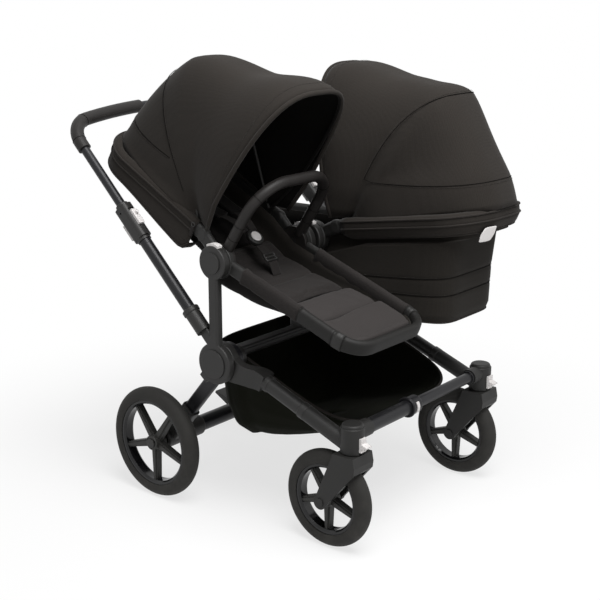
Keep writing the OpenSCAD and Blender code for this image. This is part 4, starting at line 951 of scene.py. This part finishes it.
def make_head_wrap(side, place, body, drop, deep, tuck):
    """Fabric edge with piping; it hangs deeper by the hub and tucks in under the frame."""
    path, place = head_path(), head_place(place)
    r, top, low = WRAP_R, (ARM_H - ARM_W) / 2, -ARM_H / 2
    hang = drop + deep * smooth(path[:, 1], 330, 40)
    near = np.clip((path[:, 1] - path[0, 1]) / 34, 0, 1)
    hang = hang * (0.45 + 0.55 * np.sqrt(1 - (1 - near) ** 2))
    turns = [math.radians(g) for g in range(100, -1, -10)]
    # each point of the section: outward offset, height and share of the hang
    section = [
        (-6.0, top + r + 0.6, 0),
        *[(r * math.cos(g), top + r * math.sin(g), 0) for g in turns],
        (r, top - 6, 0),
        (r, 0, 0),
        (r - tuck * 0.08, -ARM_H / 3, 0),
        (r + 0.7 - tuck * 0.45, low, 0.35),
        (r + 1 - tuck * 0.7, low, 0.7),
        (r - 1 - tuck * 0.85, low, 0.9),
        (r - 5 - tuck, low, 1.0),
        (-10.0 - tuck, low - 2, 1.0),
        (-24.0 - tuck, low - 4, 1.0),
    ]
    wave = np.sin(np.arange(len(path)) * 1.31) * 0.5
    rows = [sweep(path, o + wave * (0.7 if share else 0.15), h - hang * share) for o, h, share in section]
    band = loft(side + "_head_band", np.array(rows).transpose(1, 0, 2), place, FABRIC)
    made = [thicken(band, 2.2)]
    for label, offset, height, share, size in (
        ("upper_piping", r + 0.6, top + 5.5, 0, 2.6),
        ("lower_piping", r + 0.8, -6.0, 0, 2.2),
        ("hem_piping", r + 0.2 - tuck * 0.8, low, 0.86, 1.6),
    ):
        line = sweep(path, offset, height - hang * share)
        made.append(tube(f"{side}_{label}", line, size, place, PIPING, sides=10))
    line = sweep(path, r + 0.7 - tuck * 0.57, low - hang * 0.5)
    made.append(stitches(side + "_band_stitch", line, place))
    for piece in made:
        attach(piece, body)
    return made


seat_band = make_head_wrap("seat", SEAT, "seat", drop=26.0, deep=30.0, tuck=0.0)
cot_band = make_head_wrap("cot", COT, "upper_frame", drop=17.0, deep=0.0, tuck=20.0)


# Seat: hanging tub, cushions, leg rest and straps

# gap between the tub and its form, and the shallow pleats across it
TUB_IN, PLEAT_DEEP, PLEAT_RUN = 0.4, 0.8, 17.0
# sewn channels of the pads, across and along
CHANNEL_W, RAIL_W = 6.5, 5.5
# distances round the foot loop at which fabric, leather and collar begin, and the collar's length
FABRIC_S, LEATHER_S, COLLAR_S, COLLAR_LEN = 78, 262, 371, 22
# harness: widths and thickness of the webbing and the shoulder pads, and the slider
CROTCH_W, SHOULDER_W, WEBBING_T = 30, 24, 2.4
SHOULDER_PAD_W, SHOULDER_PAD_T = 44, 9.0
SLIDER_HW, SLIDER_GAP, SLIDER_R = 18.0, 9.0, 2.6
# buckle: its middle in the seat, its tilt and half its length
BUCKLE_U, BUCKLE_W, BUCKLE_TILT, BUCKLE_HALF = 26.0, 22.0, math.radians(22), 23.7


def make_seat_tub():
    """Fabric trough under the frame, with shallow pleats across."""
    cuts = np.concatenate(
        [
            (TUB_FOOT + 1) * np.cos(np.linspace(0, np.pi / 2, 34)),
            np.linspace(0, BEND_Y, 8)[1:],
            BEND_Y + (TUB_HEAD - 1 - BEND_Y) * np.sin(np.linspace(0, np.pi / 2, 26)[1:]),
        ]
    )
    turn = np.linspace(0, np.pi, 49)
    rows = []
    for u in cuts:
        a, d = inside_hw(u) - TUB_IN, seat_depth(u) - TUB_IN
        pleat = PLEAT_DEEP * np.sin(u / PLEAT_RUN) * np.sin(turn) ** 2
        x = -(a - 0.2) * power(np.cos(turn), 0.4)
        w = frame_line(u) - d * power(np.sin(turn), 0.4) + pleat + 0.8 * np.sin(turn)
        rows.append(np.stack([x, np.full_like(turn, u), w], 1))
    tub = loft("seat_tub_shell", rows, SEAT, TUB_CLOTH)
    # the tub's inner face is the seat melange painted darker: painted shade
    tub = thicken(tub, 2.4, SEAT_CLOTH_PAINTED_SHADE)
    attach(tub, "seat")
    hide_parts("seat_tub")


def cushion_rows(u0, u1, thick, share, ends, cuts=26, steps=26, shrink=2.5):
    """Rings of a flat cushion on the tub's floor, a little small, before it is filled."""
    rows = []
    for k in np.linspace(0, 1, cuts):
        u = u0 + (u1 - u0) * (1 - math.cos(math.pi * k)) / 2
        e = (2 * u - u0 - u1) / (u1 - u0)
        edge = max(0.0, 1 - abs(e) ** 6) ** 0.5
        a = share * inside_hw(u) * (0.93 + 0.07 * edge) - shrink
        rise = (np.interp(u, (u0, u1), thick) - shrink) * (ends + (1 - ends) * edge)
        f = np.linspace(0, np.pi, steps + 1)
        x = -a * np.cos(f)
        under = np.stack([x, np.full_like(x, u), tub_floor(u, x) + PAD_LIFT], 1)
        back = x[::-1][1:-1]
        top = tub_floor(u, back) + PAD_LIFT + rise * np.sin(f[1:-1]) ** 0.6
        over = np.stack([back, np.full_like(back, u), top], 1)
        rows.append(np.concatenate([under, over]))
    return rows


def swell(piece, cap, voxel=0.005, pressure=4.0, frames=20):
    """Fills a cushion: the skin is blown out as cloth, and no point moves further than the cap."""
    remesh = piece.modifiers.new("skin", "REMESH")
    remesh.mode, remesh.voxel_size, remesh.use_smooth_shade = "VOXEL", voxel, True
    settle(piece)
    before = np.array([v.co for v in piece.data.vertices])
    cloth = piece.modifiers.new("filling", "CLOTH")
    cloth.settings.use_pressure = True
    cloth.settings.uniform_pressure_force = pressure
    cloth.settings.quality = 4
    cloth.settings.effector_weights.gravity = 0
    cloth.point_cache.frame_start, cloth.point_cache.frame_end = 1, frames
    for step in range(1, frames + 1):
        scene.frame_set(step)
    graph = bpy.context.evaluated_depsgraph_get()
    blown = piece.evaluated_get(graph).to_mesh()
    after = np.array([v.co for v in blown.vertices])
    piece.evaluated_get(graph).to_mesh_clear()
    piece.modifiers.clear()
    scene.frame_set(1)
    move = after - before
    size = np.linalg.norm(move, axis=1)[:, None] + 1e-12
    after = before + move * np.minimum(1, cap * MM / size)
    piece.data.vertices.foreach_set("co", after.astype(np.float32).ravel())
    piece.data.update()
    soft = piece.modifiers.new("soft", "SMOOTH")
    soft.factor, soft.iterations = 0.5, 4
    return settle(piece)


def to_local(piece, place):
    """A piece's points in millimetres, in the frame of its placing matrix."""
    co = np.array([v.co for v in piece.data.vertices])
    back = np.array(place.inverted())
    return (co @ back[:3, :3].T + back[:3, 3]) / MM


def set_local(piece, place, local):
    """Gives a piece new points, in the frame of its placing matrix."""
    turn = np.array(place)
    co = local * MM @ turn[:3, :3].T + turn[:3, 3]
    piece.data.vertices.foreach_set("co", co.astype(np.float32).ravel())
    piece.data.update()


def make_cushion(name, u0, u1, thick, share, channels, node, material, cap=6.0, rail=0.0, ends=0.25, dip=0.3):
    """A filled pad with sewn channels across it and, where there are rails, along it."""
    rings = cushion_rows(u0, u1, thick, share, ends)
    piece = loft(name, rings, SEAT, material, ring=True, caps=True, flip=True)
    swell(piece, cap)
    divide = piece.modifiers.new("finer", "SUBSURF")
    divide.levels = divide.render_levels = 1
    settle(piece)
    local = to_local(piece, SEAT)
    x, u = local[:, 0], local[:, 1]
    floor = tub_floor(u, np.clip(x, -inside_hw(u) + 5, inside_hw(u) - 5))
    above = smooth(local[:, 2] - floor, 2, 12)
    sink = above * thick[1] * dip
    for c in channels:
        bow = c + 5 * (x / 100) ** 2
        local[:, 2] -= sink * ridge(u - bow, CHANNEL_W)
    if rail:
        for k in (-1, 1):
            local[:, 2] -= sink * ridge(x - k * rail, RAIL_W)
    # light tension creases that run out of the corners
    local[:, 2] += above * 0.5 * np.sin(x / 9 + u / 14) * ridge(np.abs(x) - 80, 40)
    local[:, 2] = np.maximum(local[:, 2], floor + 0.6)
    set_local(piece, SEAT, local)
    attach(piece, "seat")
    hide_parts(node)


def pad_height(u, x, thick):
    """Height of a pad's upper side."""
    return tub_floor(u, x) + PAD_LIFT + thick


def make_seat_pads():
    """The seat's three filled pads."""
    make_cushion(
        "seat_pad", -204, 62, (34, SEAT_PAD_T), 0.95, [-104], "seat_cushion", SEAT_CLOTH, ends=0.88, dip=0.1
    )
    # the back pad is the seat melange painted darker: painted shade
    make_cushion(
        "back_pad", 74, 412, (BACK_PAD_T, BACK_PAD_T), 0.86, [190, 310], "seat_cushion", SEAT_CLOTH_PAINTED_SHADE, rail=58
    )
    make_cushion("leg_pad", -306, -204, (18, 30), 0.95, [], "leg_rest", FOOT_CLOTH, cap=3.0, ends=0.92)


def make_foot_pad(seam_u=-296.0, thick=15.0, edge_thick=3.0, rib_pitch=5.6, rib_high=0.8, cuts=40, cols=181):
    """Ribbed pad at the foot end; its ribs run along the seat up to a wavy seam."""
    ends = np.linspace(TUB_FOOT + 13, seam_u, cuts)
    rings = []
    for u in ends:
        a = inside_hw(u) - 6.5
        x = np.linspace(-a, a, cols)
        e = (2 * u - ends[0] - ends[-1]) / (ends[-1] - ends[0])
        edge = max(0.0, 1 - abs(e) ** 8) ** 0.5
        side = np.sqrt(np.maximum(0, 1 - np.abs(x / a) ** 14))
        rib = rib_high * np.abs(np.cos(np.pi * x / rib_pitch)) * side * edge
        floor = tub_floor(u, x) + 1.0
        start = u + 5 * np.sin(x / 36) * smooth(u, seam_u - 84, seam_u)
        rise = (thick * edge + edge_thick) * (0.35 + 0.65 * side)
        top = np.stack([x, start, floor + rise + rib], 1)
        rings.append(np.concatenate([np.stack([x, start, floor], 1), top[::-1]]))
    pad = loft("foot_pad", rings, SEAT, FOOT_CLOTH, ring=True, caps=True, flip=True)
    attach(pad, "seat")
    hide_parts("leg_rest")


def sleeve(name, path, wider, taller, material, wrinkle, slot="black_fabric", sides=20):
    """A sleeve drawn over the seat's frame tube, with fine gathers."""
    ahead = unit(np.gradient(path, axis=0))
    turn = full_turn(sides)
    # the tube's flat sides lift the rounded top and bottom apart
    flat = np.sign(np.sin(turn)) * (ARM_H - ARM_W) / 2 * np.minimum(1, np.abs(np.sin(turn)) * 4)
    rows = []
    for i, (spot, run) in enumerate(zip(path, ahead)):
        out = unit(np.cross(run, (0, 0, 1.0)))
        up = np.cross(out, run)
        flare = 1.1 * ridge(min(i, len(path) - 1 - i), 1.2)
        ripple = wrinkle * np.sin(i * 0.8 + 2 * np.cos(turn)) * np.cos(i * 0.23 + turn)
        r = ARM_W / 2 + wider + flare + ripple
        rows.append(spot + np.outer(r * np.cos(turn), out) + np.outer(flat + (r + taller) * np.sin(turn), up))
    piece = loft(name, rows, SEAT, material, ring=True, caps=True, flip=True)
    attach(piece, "seat")


def foot_loop(start, end):
    """Points along the foot loop by distance from the near pivot, right round to the far one."""
    straight, inner = FOOT_LEN - FOOT_R, ARM_HW - FOOT_R
    bend = math.pi / 2 * FOOT_R
    points = []
    for s in np.arange(start, end + 0.1, 7.0):
        if s < straight:
            points.append((-ARM_HW, -s, 0))
        elif s < straight + bend:
            a = (s - straight) / FOOT_R
            points.append((-inner - FOOT_R * math.cos(a), -straight - FOOT_R * math.sin(a), 0))
        elif s < straight + bend + 2 * inner:
            points.append((-inner + s - straight - bend, -FOOT_LEN, 0))
        elif s < straight + 2 * bend + 2 * inner:
            a = (s - straight - bend - 2 * inner) / FOOT_R
            points.append((inner + FOOT_R * math.sin(a), -straight - FOOT_R * math.cos(a), 0))
        else:
            points.append((ARM_HW, -straight + s - straight - 2 * bend - 2 * inner, 0))
    return np.array(points)


def make_seat_sleeves():
    """Fabric along the sides of the foot loop, leather round its end, and collars between them."""
    total = 2 * (FOOT_LEN - FOOT_R) + math.pi * FOOT_R + 2 * (ARM_HW - FOOT_R)
    collar_end = COLLAR_S + COLLAR_LEN
    # the sleeves reach 1 mm into the collars
    hide_end, front = COLLAR_S + 1, collar_end - 1
    # each kind: how much wider and taller than the frame tube, and its finish
    cloth, hide, moulded = (1.8, 0.6, SEAT_CLOTH), (0.5, 0.2, SLEEVE), (1.5, 0.6, HUB_BLACK)
    for name, start, end, fit, wrinkle in (
        ("right_foot_sleeve", FABRIC_S, LEATHER_S, cloth, 0.6),
        ("foot_end_sleeve", LEATHER_S, hide_end, hide, 0.05),
        ("foot_front_sleeve", front, total - front, hide, 0.05),
        ("left_foot_sleeve", total - hide_end, total - FABRIC_S, cloth, 0.15),
    ):
        sleeve(name, foot_loop(start, end), *fit, wrinkle)
    for name, start in (("right_foot_collar", COLLAR_S), ("left_foot_collar", total - collar_end)):
        sleeve(name, foot_loop(start, start + COLLAR_LEN), *moulded, wrinkle=0.0, slot="charcoal_plastic")


def strap(name, points, width, thick, place=SEAT, material=WEBBING, across=(1.0, 0, 0), slot="black_fabric"):
    """Flat webbing along a smooth line, with woven selvedges and rounded edges."""
    points = np.asarray(points, float)
    steps = np.linspace(0, len(points) - 1, 12 * (len(points) - 1) + 1)
    line = np.stack([np.interp(steps, range(len(points)), points[:, k]) for k in range(3)], 1)
    for _ in range(14):
        line[1:-1] = 0.25 * line[:-2] + 0.5 * line[1:-1] + 0.25 * line[2:]
    ahead = unit(np.gradient(line, axis=0))
    side = np.asarray(across, float)
    # share of the half width, and of the half thickness, at points across the strap
    profile = []
    for x in np.linspace(-1, 1, 13):
        profile.append((x, 1.0 - abs(abs(x) - 0.86) if abs(x) > 0.7 else 0.86))
    rows = []
    for spot, run in zip(line, ahead):
        out = unit(side - run * (side @ run))
        up = np.cross(out, run)
        top = [spot + out * x * width / 2 + up * h * thick / 2 for x, h in profile]
        low = [spot + out * x * width / 2 - up * h * thick / 2 for x, h in profile[::-1]]
        rows.append(np.array(top + low))
    piece = loft(name, rows, place, material, ring=True, caps=True, flip=True)
    attach(piece, "seat")
    return piece, line


def make_slider(line):
    """Ladder-lock slider of three bars and two sides, halfway along the crotch strap."""
    middle = line[len(line) // 2]
    run = unit(line[len(line) // 2 + 1] - line[len(line) // 2 - 1])
    up = np.cross((1.0, 0, 0), run)
    made = []
    across = [np.array([x, 0, 0]) for x in np.linspace(-SLIDER_HW, SLIDER_HW, 9)]
    for i, s in enumerate((-SLIDER_GAP, 0.0, SLIDER_GAP)):
        bar = [middle + run * s + up * SLIDER_R + step for step in across]
        made.append(tube(f"slider_bar_{i + 1}", bar, SLIDER_R, SEAT, CHARCOAL, sides=10))
    for i, step in enumerate((across[0], across[-1])):
        rail = [middle + step + run * s + up * 2.2 for s in np.linspace(-11, 11, 7)]
        made.append(tube(f"slider_side_{i + 1}", rail, SLIDER_R, SEAT, CHARCOAL, sides=10))
    for piece in made:
        attach(piece, "seat")


def make_harness():
    """Crotch strap up to the buckle, and padded shoulder straps from it to the back pad."""
    half_u, half_w = BUCKLE_HALF * math.cos(BUCKLE_TILT), BUCKLE_HALF * math.sin(BUCKLE_TILT)
    crotch = [
        (0, -72, pad_height(-72, 0, SEAT_PAD_T) + 1.8),
        (0, -50, -8.0),
        (0, -20, 6.0),
        (0, BUCKLE_U - half_u, BUCKLE_W - half_w),
    ]
    piece, crotch_line = strap("crotch_strap", crotch, CROTCH_W, WEBBING_T)
    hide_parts("harness")
    for side, k in (("right", -1), ("left", 1)):
        points = [
            (k * 14, BUCKLE_U + half_u, BUCKLE_W + half_w),
            (k * 22, BUCKLE_U + 60, BUCKLE_W + 22),
            (k * 34, 170, 34),
            (k * 42, 236, pad_height(236, 42, BACK_PAD_T) + 5),
            (k * 42, 262, pad_height(262, 42, BACK_PAD_T) + 1.5),
        ]
        piece, _ = strap(side + "_shoulder_strap", points, SHOULDER_W, WEBBING_T)
        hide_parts("harness")
        points = [
            (k * 27, 122, 41),
            (k * 34, 170, 39),
            (k * 40, 214, 40),
            (k * 42, 236, pad_height(236, 42, BACK_PAD_T) + 8),
        ]
        # the shoulder pads are the seat melange painted darker: painted shade
        looks = {"material": SEAT_CLOTH_PAINTED_SHADE, "slot": "seat_fabric"}
        pad, _ = strap(side + "_shoulder_pad", points, SHOULDER_PAD_W, SHOULDER_PAD_T, **looks)
    make_slider(crotch_line)


make_seat_tub()
make_seat_pads()
make_foot_pad()
make_seat_sleeves()
make_harness()


# Carrycot: quilted tub and mattress

# levels of the tub from its rim down: share of the depth, drop below the frame, half width, both ends
CotLevel = namedtuple("CotLevel", "share down half rear front")
COT_LEVELS = (
    CotLevel(0.0, 0.0, 119.0, TUB_FOOT + 6, TUB_HEAD - 6),
    CotLevel(0.0, 45.0, 122.0, TUB_FOOT + 6, TUB_HEAD - 6),
    CotLevel(0.0, 51.0, 142.0, -402.0, 416.0),
    CotLevel(0.45, 45.0, 144.0, -402.0, 402.0),
    CotLevel(0.9, 45.0, 140.0, -398.0, 398.0),
    CotLevel(0.98, 45.0, 134.0, -392.0, 392.0),
    CotLevel(1.0, 45.0, 120.0, -378.0, 378.0),
)
COT_BASE = 5
# places of the quilt seams between the levels, and the half sizes that their dips are measured on
COT_SEAMS, QUILT_DEEP, QUILT_W = (3.0, 3.46), 1.7, 0.05
COT_HALF_W, COT_HALF_L = 142.0, 402.0
# mattress: half width, half length and thickness, on the tub's floor; it is drawn in before it is filled
MATTRESS_HW, MATTRESS_HL, MATTRESS_T = 109.0, 359.0, 30.0
COT_FLOOR_T, MATTRESS_IN, MATTRESS_PITCH = 5.6, 1.5, 75


def low_line(u):
    """Line under the frame that stays level past the bend and then meets the head slope."""
    return np.where(np.asarray(u, float) < 46, 0.0, smooth(u, 46, 130) * frame_line(u))


def cot_ring(level, inset, count=160):
    """Points round the cot's tub at one of its levels."""
    middle, half = (level.rear + level.front) / 2, (level.front - level.rear) / 2
    x, u = soft_corners(level.half - inset, half - inset, 1 / 3, count)
    u += middle
    top = (low_line(u) if level.down > 0 else frame_line(u)) - level.down
    return np.stack([x, u, top + (-COT_DEPTH - top) * level.share], 1)


def cot_ring_at(k, inset):
    """Points round the tub between two of its levels, by a running number."""
    a = int(min(k, len(COT_LEVELS) - 2))
    return cot_ring(COT_LEVELS[a], inset) * (1 - k + a) + cot_ring(COT_LEVELS[a + 1], inset) * (k - a)


def make_cot_tub():
    """Fabric tub with two quilt seams, their stitches and a piped base."""
    rings = []
    for k in (0, 0.5, 1.0, 1.5, *np.linspace(2.0, 4.0, 41), *np.linspace(4.1, 6.0, 16)):
        ring = cot_ring_at(k, 0.3)
        if 2.0 <= k <= 4.6:
            dip = QUILT_DEEP * sum(ridge(k - seam, QUILT_W) for seam in COT_SEAMS)
            ring[:, 0] *= 1 - dip / COT_HALF_W
            ring[:, 1] *= 1 - dip / COT_HALF_L
        rings.append(ring)
    base = rings[-1]
    centre = base.mean(0)
    rings += [centre + (base - centre) * share for share in (0.7, 0.35, 0.02)]
    shell = loft("cot_tub_shell", rings, COT, TUB_CLOTH, ring=True, flip=True)
    # the tub's inner face is the canopy fabric painted darker: painted shade
    shell = thicken(shell, 3.0, CANOPY_FABRIC_PAINTED_SHADE)
    attach(shell, "upper_frame")
    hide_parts("cot_tub")
    made = []
    for i, seam in enumerate(COT_SEAMS):
        ring = cot_ring_at(seam, 0.9)
        made.append(tube(f"cot_quilt_seam_{i + 1}", ring, 0.8, COT, SEAM, sides=6, closed=True))
        lifted = ring + np.array([0, 0, 3.2])
        made.append(stitches(f"cot_quilt_stitch_{i + 1}", np.concatenate([lifted, lifted[:1]]), COT))
    edge = cot_ring(COT_LEVELS[COT_BASE], -0.4)
    made.append(tube("cot_base_piping", edge, 1.8, COT, PIPING, sides=8, closed=True))
    for piece in made:
        attach(piece, "upper_frame")


def make_mattress():
    """Filled mattress on the cot's floor, with channels across it."""
    middle, half = -COT_DEPTH + COT_FLOOR_T + MATTRESS_T / 2, MATTRESS_T / 2 - MATTRESS_IN
    rows = []
    for g in np.linspace(-90, 90, 13):
        s = max(0.02, math.cos(math.radians(g)) ** 0.35)
        x, u = soft_corners(MATTRESS_HW * s, MATTRESS_HL * s, 0.5, 72)
        rows.append(np.stack([x, u, np.full_like(x, middle + half * math.sin(math.radians(g)))], 1))
    pad = loft("mattress_pad", rows, COT, SEAT_CLOTH, ring=True, caps=True)
    swell(pad, 4.0, voxel=0.006)
    local = to_local(pad, COT)
    top = smooth(local[:, 2], -COT_DEPTH + 20, -COT_DEPTH + 32)
    for c in np.arange(-4, 5) * MATTRESS_PITCH:
        local[:, 2] -= top * 5 * ridge(local[:, 1] - c, 7)
    set_local(pad, COT, local)
    attach(pad, "upper_frame")
    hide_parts("cot_mattress")


make_cot_tub()
make_mattress()


# Basket under the carriers
BASKET_HW, BASKET_ROUND = 246.0, 2 / 4.5
BASKET_FRONT, BASKET_BACK = CASTER_Y + 42, HUB_Y + 146
BASKET_SLOPE = math.radians(20.5)
# depth at the front, and how much deeper the back is
BASKET_DEPTH, BASKET_DROP = 40.0, 225.0


def basket_rim(y):
    """Height of the rim, which slopes down ahead of the hub."""
    return HUB_Z - 0.4 - np.maximum(0, HUB_Y - y) * math.tan(BASKET_SLOPE)


def basket_ring(share, inset, count=144):
    """Points round the basket at a share of its depth."""
    middle, half = (BASKET_FRONT + BASKET_BACK) / 2, (BASKET_BACK - BASKET_FRONT) / 2
    x, y = soft_corners(BASKET_HW - inset, half - inset, BASKET_ROUND, count)
    y += middle
    k = np.clip((y - BASKET_FRONT) / (BASKET_BACK - BASKET_FRONT), 0, 1)
    top = basket_rim(y)
    floor = top - BASKET_DEPTH - BASKET_DROP * np.sin(np.pi / 2 * k) ** 1.4
    return np.stack([x, y, top + (floor - top) * share], 1)


def make_basket():
    """Gathered fabric basket with a rolled rim and a row of stitches."""
    shares = np.array([0, 0.3, 0.62, 0.86, 1.0])
    insets = np.array([0, 3, 12, 30, 62.0])
    rows = []
    for s in np.linspace(0, 1, 26):
        ring = basket_ring(s, 0.6 + float(np.interp(s, shares, insets)))
        f = full_turn(len(ring))
        gather = 1.6 * math.sin(math.pi * s) * (np.sin(23 * f + 2.5 * s) + 0.6 * np.sin(41 * f - 4 * s))
        out = ring - ring.mean(0)
        out[:, 2] = 0
        rows.append(ring - unit(out) * (1.6 + gather * 0.6)[:, None] if s > 0 else ring)
    last = rows[-1]
    centre = last.mean(0)
    for share, sag in ((0.75, 0.0), (0.5, 1.0), (0.25, 1.5), (0.02, 1.5)):
        rows.append(centre + (last - centre) * share - np.array([0, 0, sag]))
    shell = loft("basket_shell", rows, WORLD, MESH_CLOTH, ring=True, flip=True)
    shell = thicken(shell, 2.0)
    attach(shell, "upper_frame")
    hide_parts("basket")
    rim = basket_ring(0.012, 0.8)
    hem = tube("basket_rim_hem", rim, 3.2, WORLD, PIPING, sides=10, closed=True)
    trim = basket_ring(0.11, 0.7)
    row = stitches("basket_stitch", np.concatenate([trim, trim[:1]]), WORLD, pitch=6.0)
    for piece in (hem, row):
        attach(piece, "upper_frame")


make_basket()


# Small sewn and moulded details


def circle_at(centre, ahead, radius, count=40):
    """Points of a circle round a bar, square to the bar's direction."""
    ahead = unit(ahead)
    return circle(centre, ahead, unit(np.cross(ahead, (0.21, 0.95, 0.17))), radius, count)


BUMPER_TILT = math.radians(13)
BUMPER = SEAT @ Matrix.Rotation(BUMPER_TILT, 4, "X")
BUMPER_HW, BUMPER_LEG, BUMPER_BEND, BUMPER_D = 137.25, 139.0, 92.0, 28.0
BUMPER_FOOT = 40.0
# sewn seams on leather: gap over the surface, and the row's stitches
SEAM_LIFT = 0.05
GRIP_ROW = {"pitch": 6.0, "length": 4.0, "radius": 0.8}


def bumper_line(turn):
    """Centre of the bumper bar: 0 to 1 up the right leg, 1 to 2 round its bend, 2 to 3 to the middle."""
    leg = np.clip(turn, 0, 1)
    bend = np.clip(np.asarray(turn) - 1, 0, 1) * np.pi / 2
    top = np.clip(np.asarray(turn) - 2, 0, 1)
    x = -BUMPER_HW + BUMPER_BEND * (1 - np.cos(bend)) + top * (BUMPER_HW - BUMPER_BEND)
    z = BUMPER_FOOT + leg * (BUMPER_LEG - BUMPER_FOOT) + BUMPER_BEND * np.sin(bend)
    return np.stack([x, np.zeros_like(x), z], -1)


def make_bumper_details():
    """Ring seams on both legs of the bumper bar, and a sewn seam along its inside."""
    for mirror, side in ((1, "right"), (-1, "left")):
        flip = np.array([mirror, 1, 1])
        for i, at in enumerate((0.32, 0.72, 1.38)):
            before, centre, after = bumper_line(np.array([at - 0.02, at, at + 0.02])) * flip
            ring = circle_at(centre, after - before, BUMPER_D / 2 + SEAM_LIFT)
            seam = tube(f"{side}_bumper_seam_{i + 1}", ring, 0.75, BUMPER, SEAM, sides=6, closed=True)
            attach(seam, "bumper_bar_body")
    half = bumper_line(np.linspace(0.74, 3.0, 60))
    line = np.concatenate([half, (half * np.array([-1, 1, 1]))[::-1][1:]])
    inward = np.cross(unit(np.gradient(line, axis=0)), (0, 1.0, 0))
    inward *= np.sign((inward * (np.array([0, 0, 60.0]) - line)).sum(1))[:, None]
    row = stitches("bumper_stitch", line + inward * (BUMPER_D / 2 + SEAM_LIFT), BUMPER, **GRIP_ROW)
    attach(row, "bumper_bar_body")


# Handle line, and the handlebar's corners and grips
HANDLE_X, HANDLE_LIFT, HANDLE_SLOPE = 347.0, 43.0, math.radians(44.5)
BAR_S, BAR_BARE, GRIP_D = 750.0, 156.0, 35.0
ELBOW_R, ELBOW_TURN = 80.0, math.radians(80)
BAR_R = (HANDLE_X - ELBOW_R * (1 - math.cos(ELBOW_TURN))) / math.cos(ELBOW_TURN)
ELBOW_S = BAR_S - BAR_R * (1 - math.sin(ELBOW_TURN)) - ELBOW_R * math.sin(ELBOW_TURN)
GRIP_END = math.acos(BAR_BARE / 2 / BAR_R)
HANDLE = (
    Matrix.Translation((0, HUB_Y * MM, (HUB_Z + HANDLE_LIFT) * MM))
    @ Matrix.Rotation(HANDLE_SLOPE - math.pi / 2, 4, "X")
)
# turn of the sewn seam from the grip's inside towards the front
GRIP_SEAM_LEAN = math.radians(38)


def grip_arc(turn):
    """Middle of a grip in the handle's plane and its way out: 0 to 1 round the corner, to 2 along the bar."""
    corner_a = ELBOW_TURN * np.clip(turn, 0, 1)
    bar_a = ELBOW_TURN + (GRIP_END - ELBOW_TURN) * np.clip(turn - 1, 0, 1)
    on_bar = turn > 1
    x = np.where(on_bar, BAR_R * np.cos(bar_a), HANDLE_X - ELBOW_R * (1 - np.cos(corner_a)))
    z = np.where(on_bar, BAR_S - BAR_R * (1 - np.sin(bar_a)), ELBOW_S + ELBOW_R * np.sin(corner_a))
    out = np.where(on_bar, bar_a, corner_a)
    return np.stack([x, 0 * x, z], -1), np.stack([np.cos(out), 0 * out, np.sin(out)], -1)


def make_grip_details():
    """Ring seams at the corners and a sewn seam along the inside of each grip."""
    made = []
    for side, mirror in (("left", 1), ("right", -1)):
        flip = np.array([mirror, 1, 1])
        for i, at in enumerate((0.12, 0.86)):
            centre, out = grip_arc(np.array([at]))
            ahead = np.array([-out[0, 2], 0, out[0, 0]])
            ring = circle_at(centre[0] * flip, ahead * flip, GRIP_D / 2 + SEAM_LIFT)
            made.append(tube(f"{side}_grip_seam_{i + 1}", ring, 0.9, HANDLE, SEAM, sides=6, closed=True))
        centre, out = grip_arc(np.linspace(0.9, 1.98, 60))
        lean = out * math.cos(GRIP_SEAM_LEAN) + np.array([0, math.sin(GRIP_SEAM_LEAN), 0])
        row = centre - (GRIP_D / 2 + 2 * SEAM_LIFT) * lean
        made.append(stitches(f"{side}_grip_stitch", row * flip, HANDLE, **GRIP_ROW))
    for piece in made:
        attach(piece, "handlebar")


def make_pull_tab():
    """Zip pull at the near end of the seat's fabric edge."""
    place = head_place(SEAT)
    x = -ARM_HW - 15.5
    ring = [(x, 30 + 5 * math.cos(g), 12 + 5 * math.sin(g)) for g in full_turn(20)]
    eye = tube("zip_eye", ring, 1.3, place, CHARCOAL, sides=8, closed=True)
    points = [(x, 30, 8), (x - 0.5, 28, -4), (x, 25, -18)]
    strap("zip_pull", points, 8, WEBBING_T, place, across=(0, 1.0, 0.2))
    attach(eye, "seat")


# grab tab: half its height, its middle and half its width round the head loop, and its height below it
TAB_HALF, TAB_TURN, TAB_HALF_TURN, TAB_DOWN = 17.0, 69.5, 10.5, 38.0


def make_cot_tab():
    """Light grey grab tab under the carrycot's fabric edge, at its near head corner."""
    inner, straight = ARM_HW - HEAD_R, HEAD_LEN - HEAD_R
    rows = []
    for e in np.linspace(-1, 1, 15):
        tall = TAB_HALF * max(0.0, 1 - e**8) ** 0.5 + 0.4
        ring = []
        for k in full_turn(24):
            rise = tall * power(math.sin(k), 0.35)
            lift = rise / TAB_HALF
            reach = HEAD_R + ARM_W / 2 - 1.0 + 6 * lift + 1.6 * power(math.cos(k), 0.4)
            g = math.radians(TAB_TURN + TAB_HALF_TURN * e + 4 * lift)
            ring.append((inner + reach * math.cos(g), straight + reach * math.sin(g), rise - TAB_DOWN))
        rows.append(ring)
    tab = loft("cot_grab_tab", rows, head_place(COT), PALE, ring=True, caps=True)
    attach(tab, "upper_frame")


make_bumper_details()
make_grip_details()
make_pull_tab()
make_cot_tab()
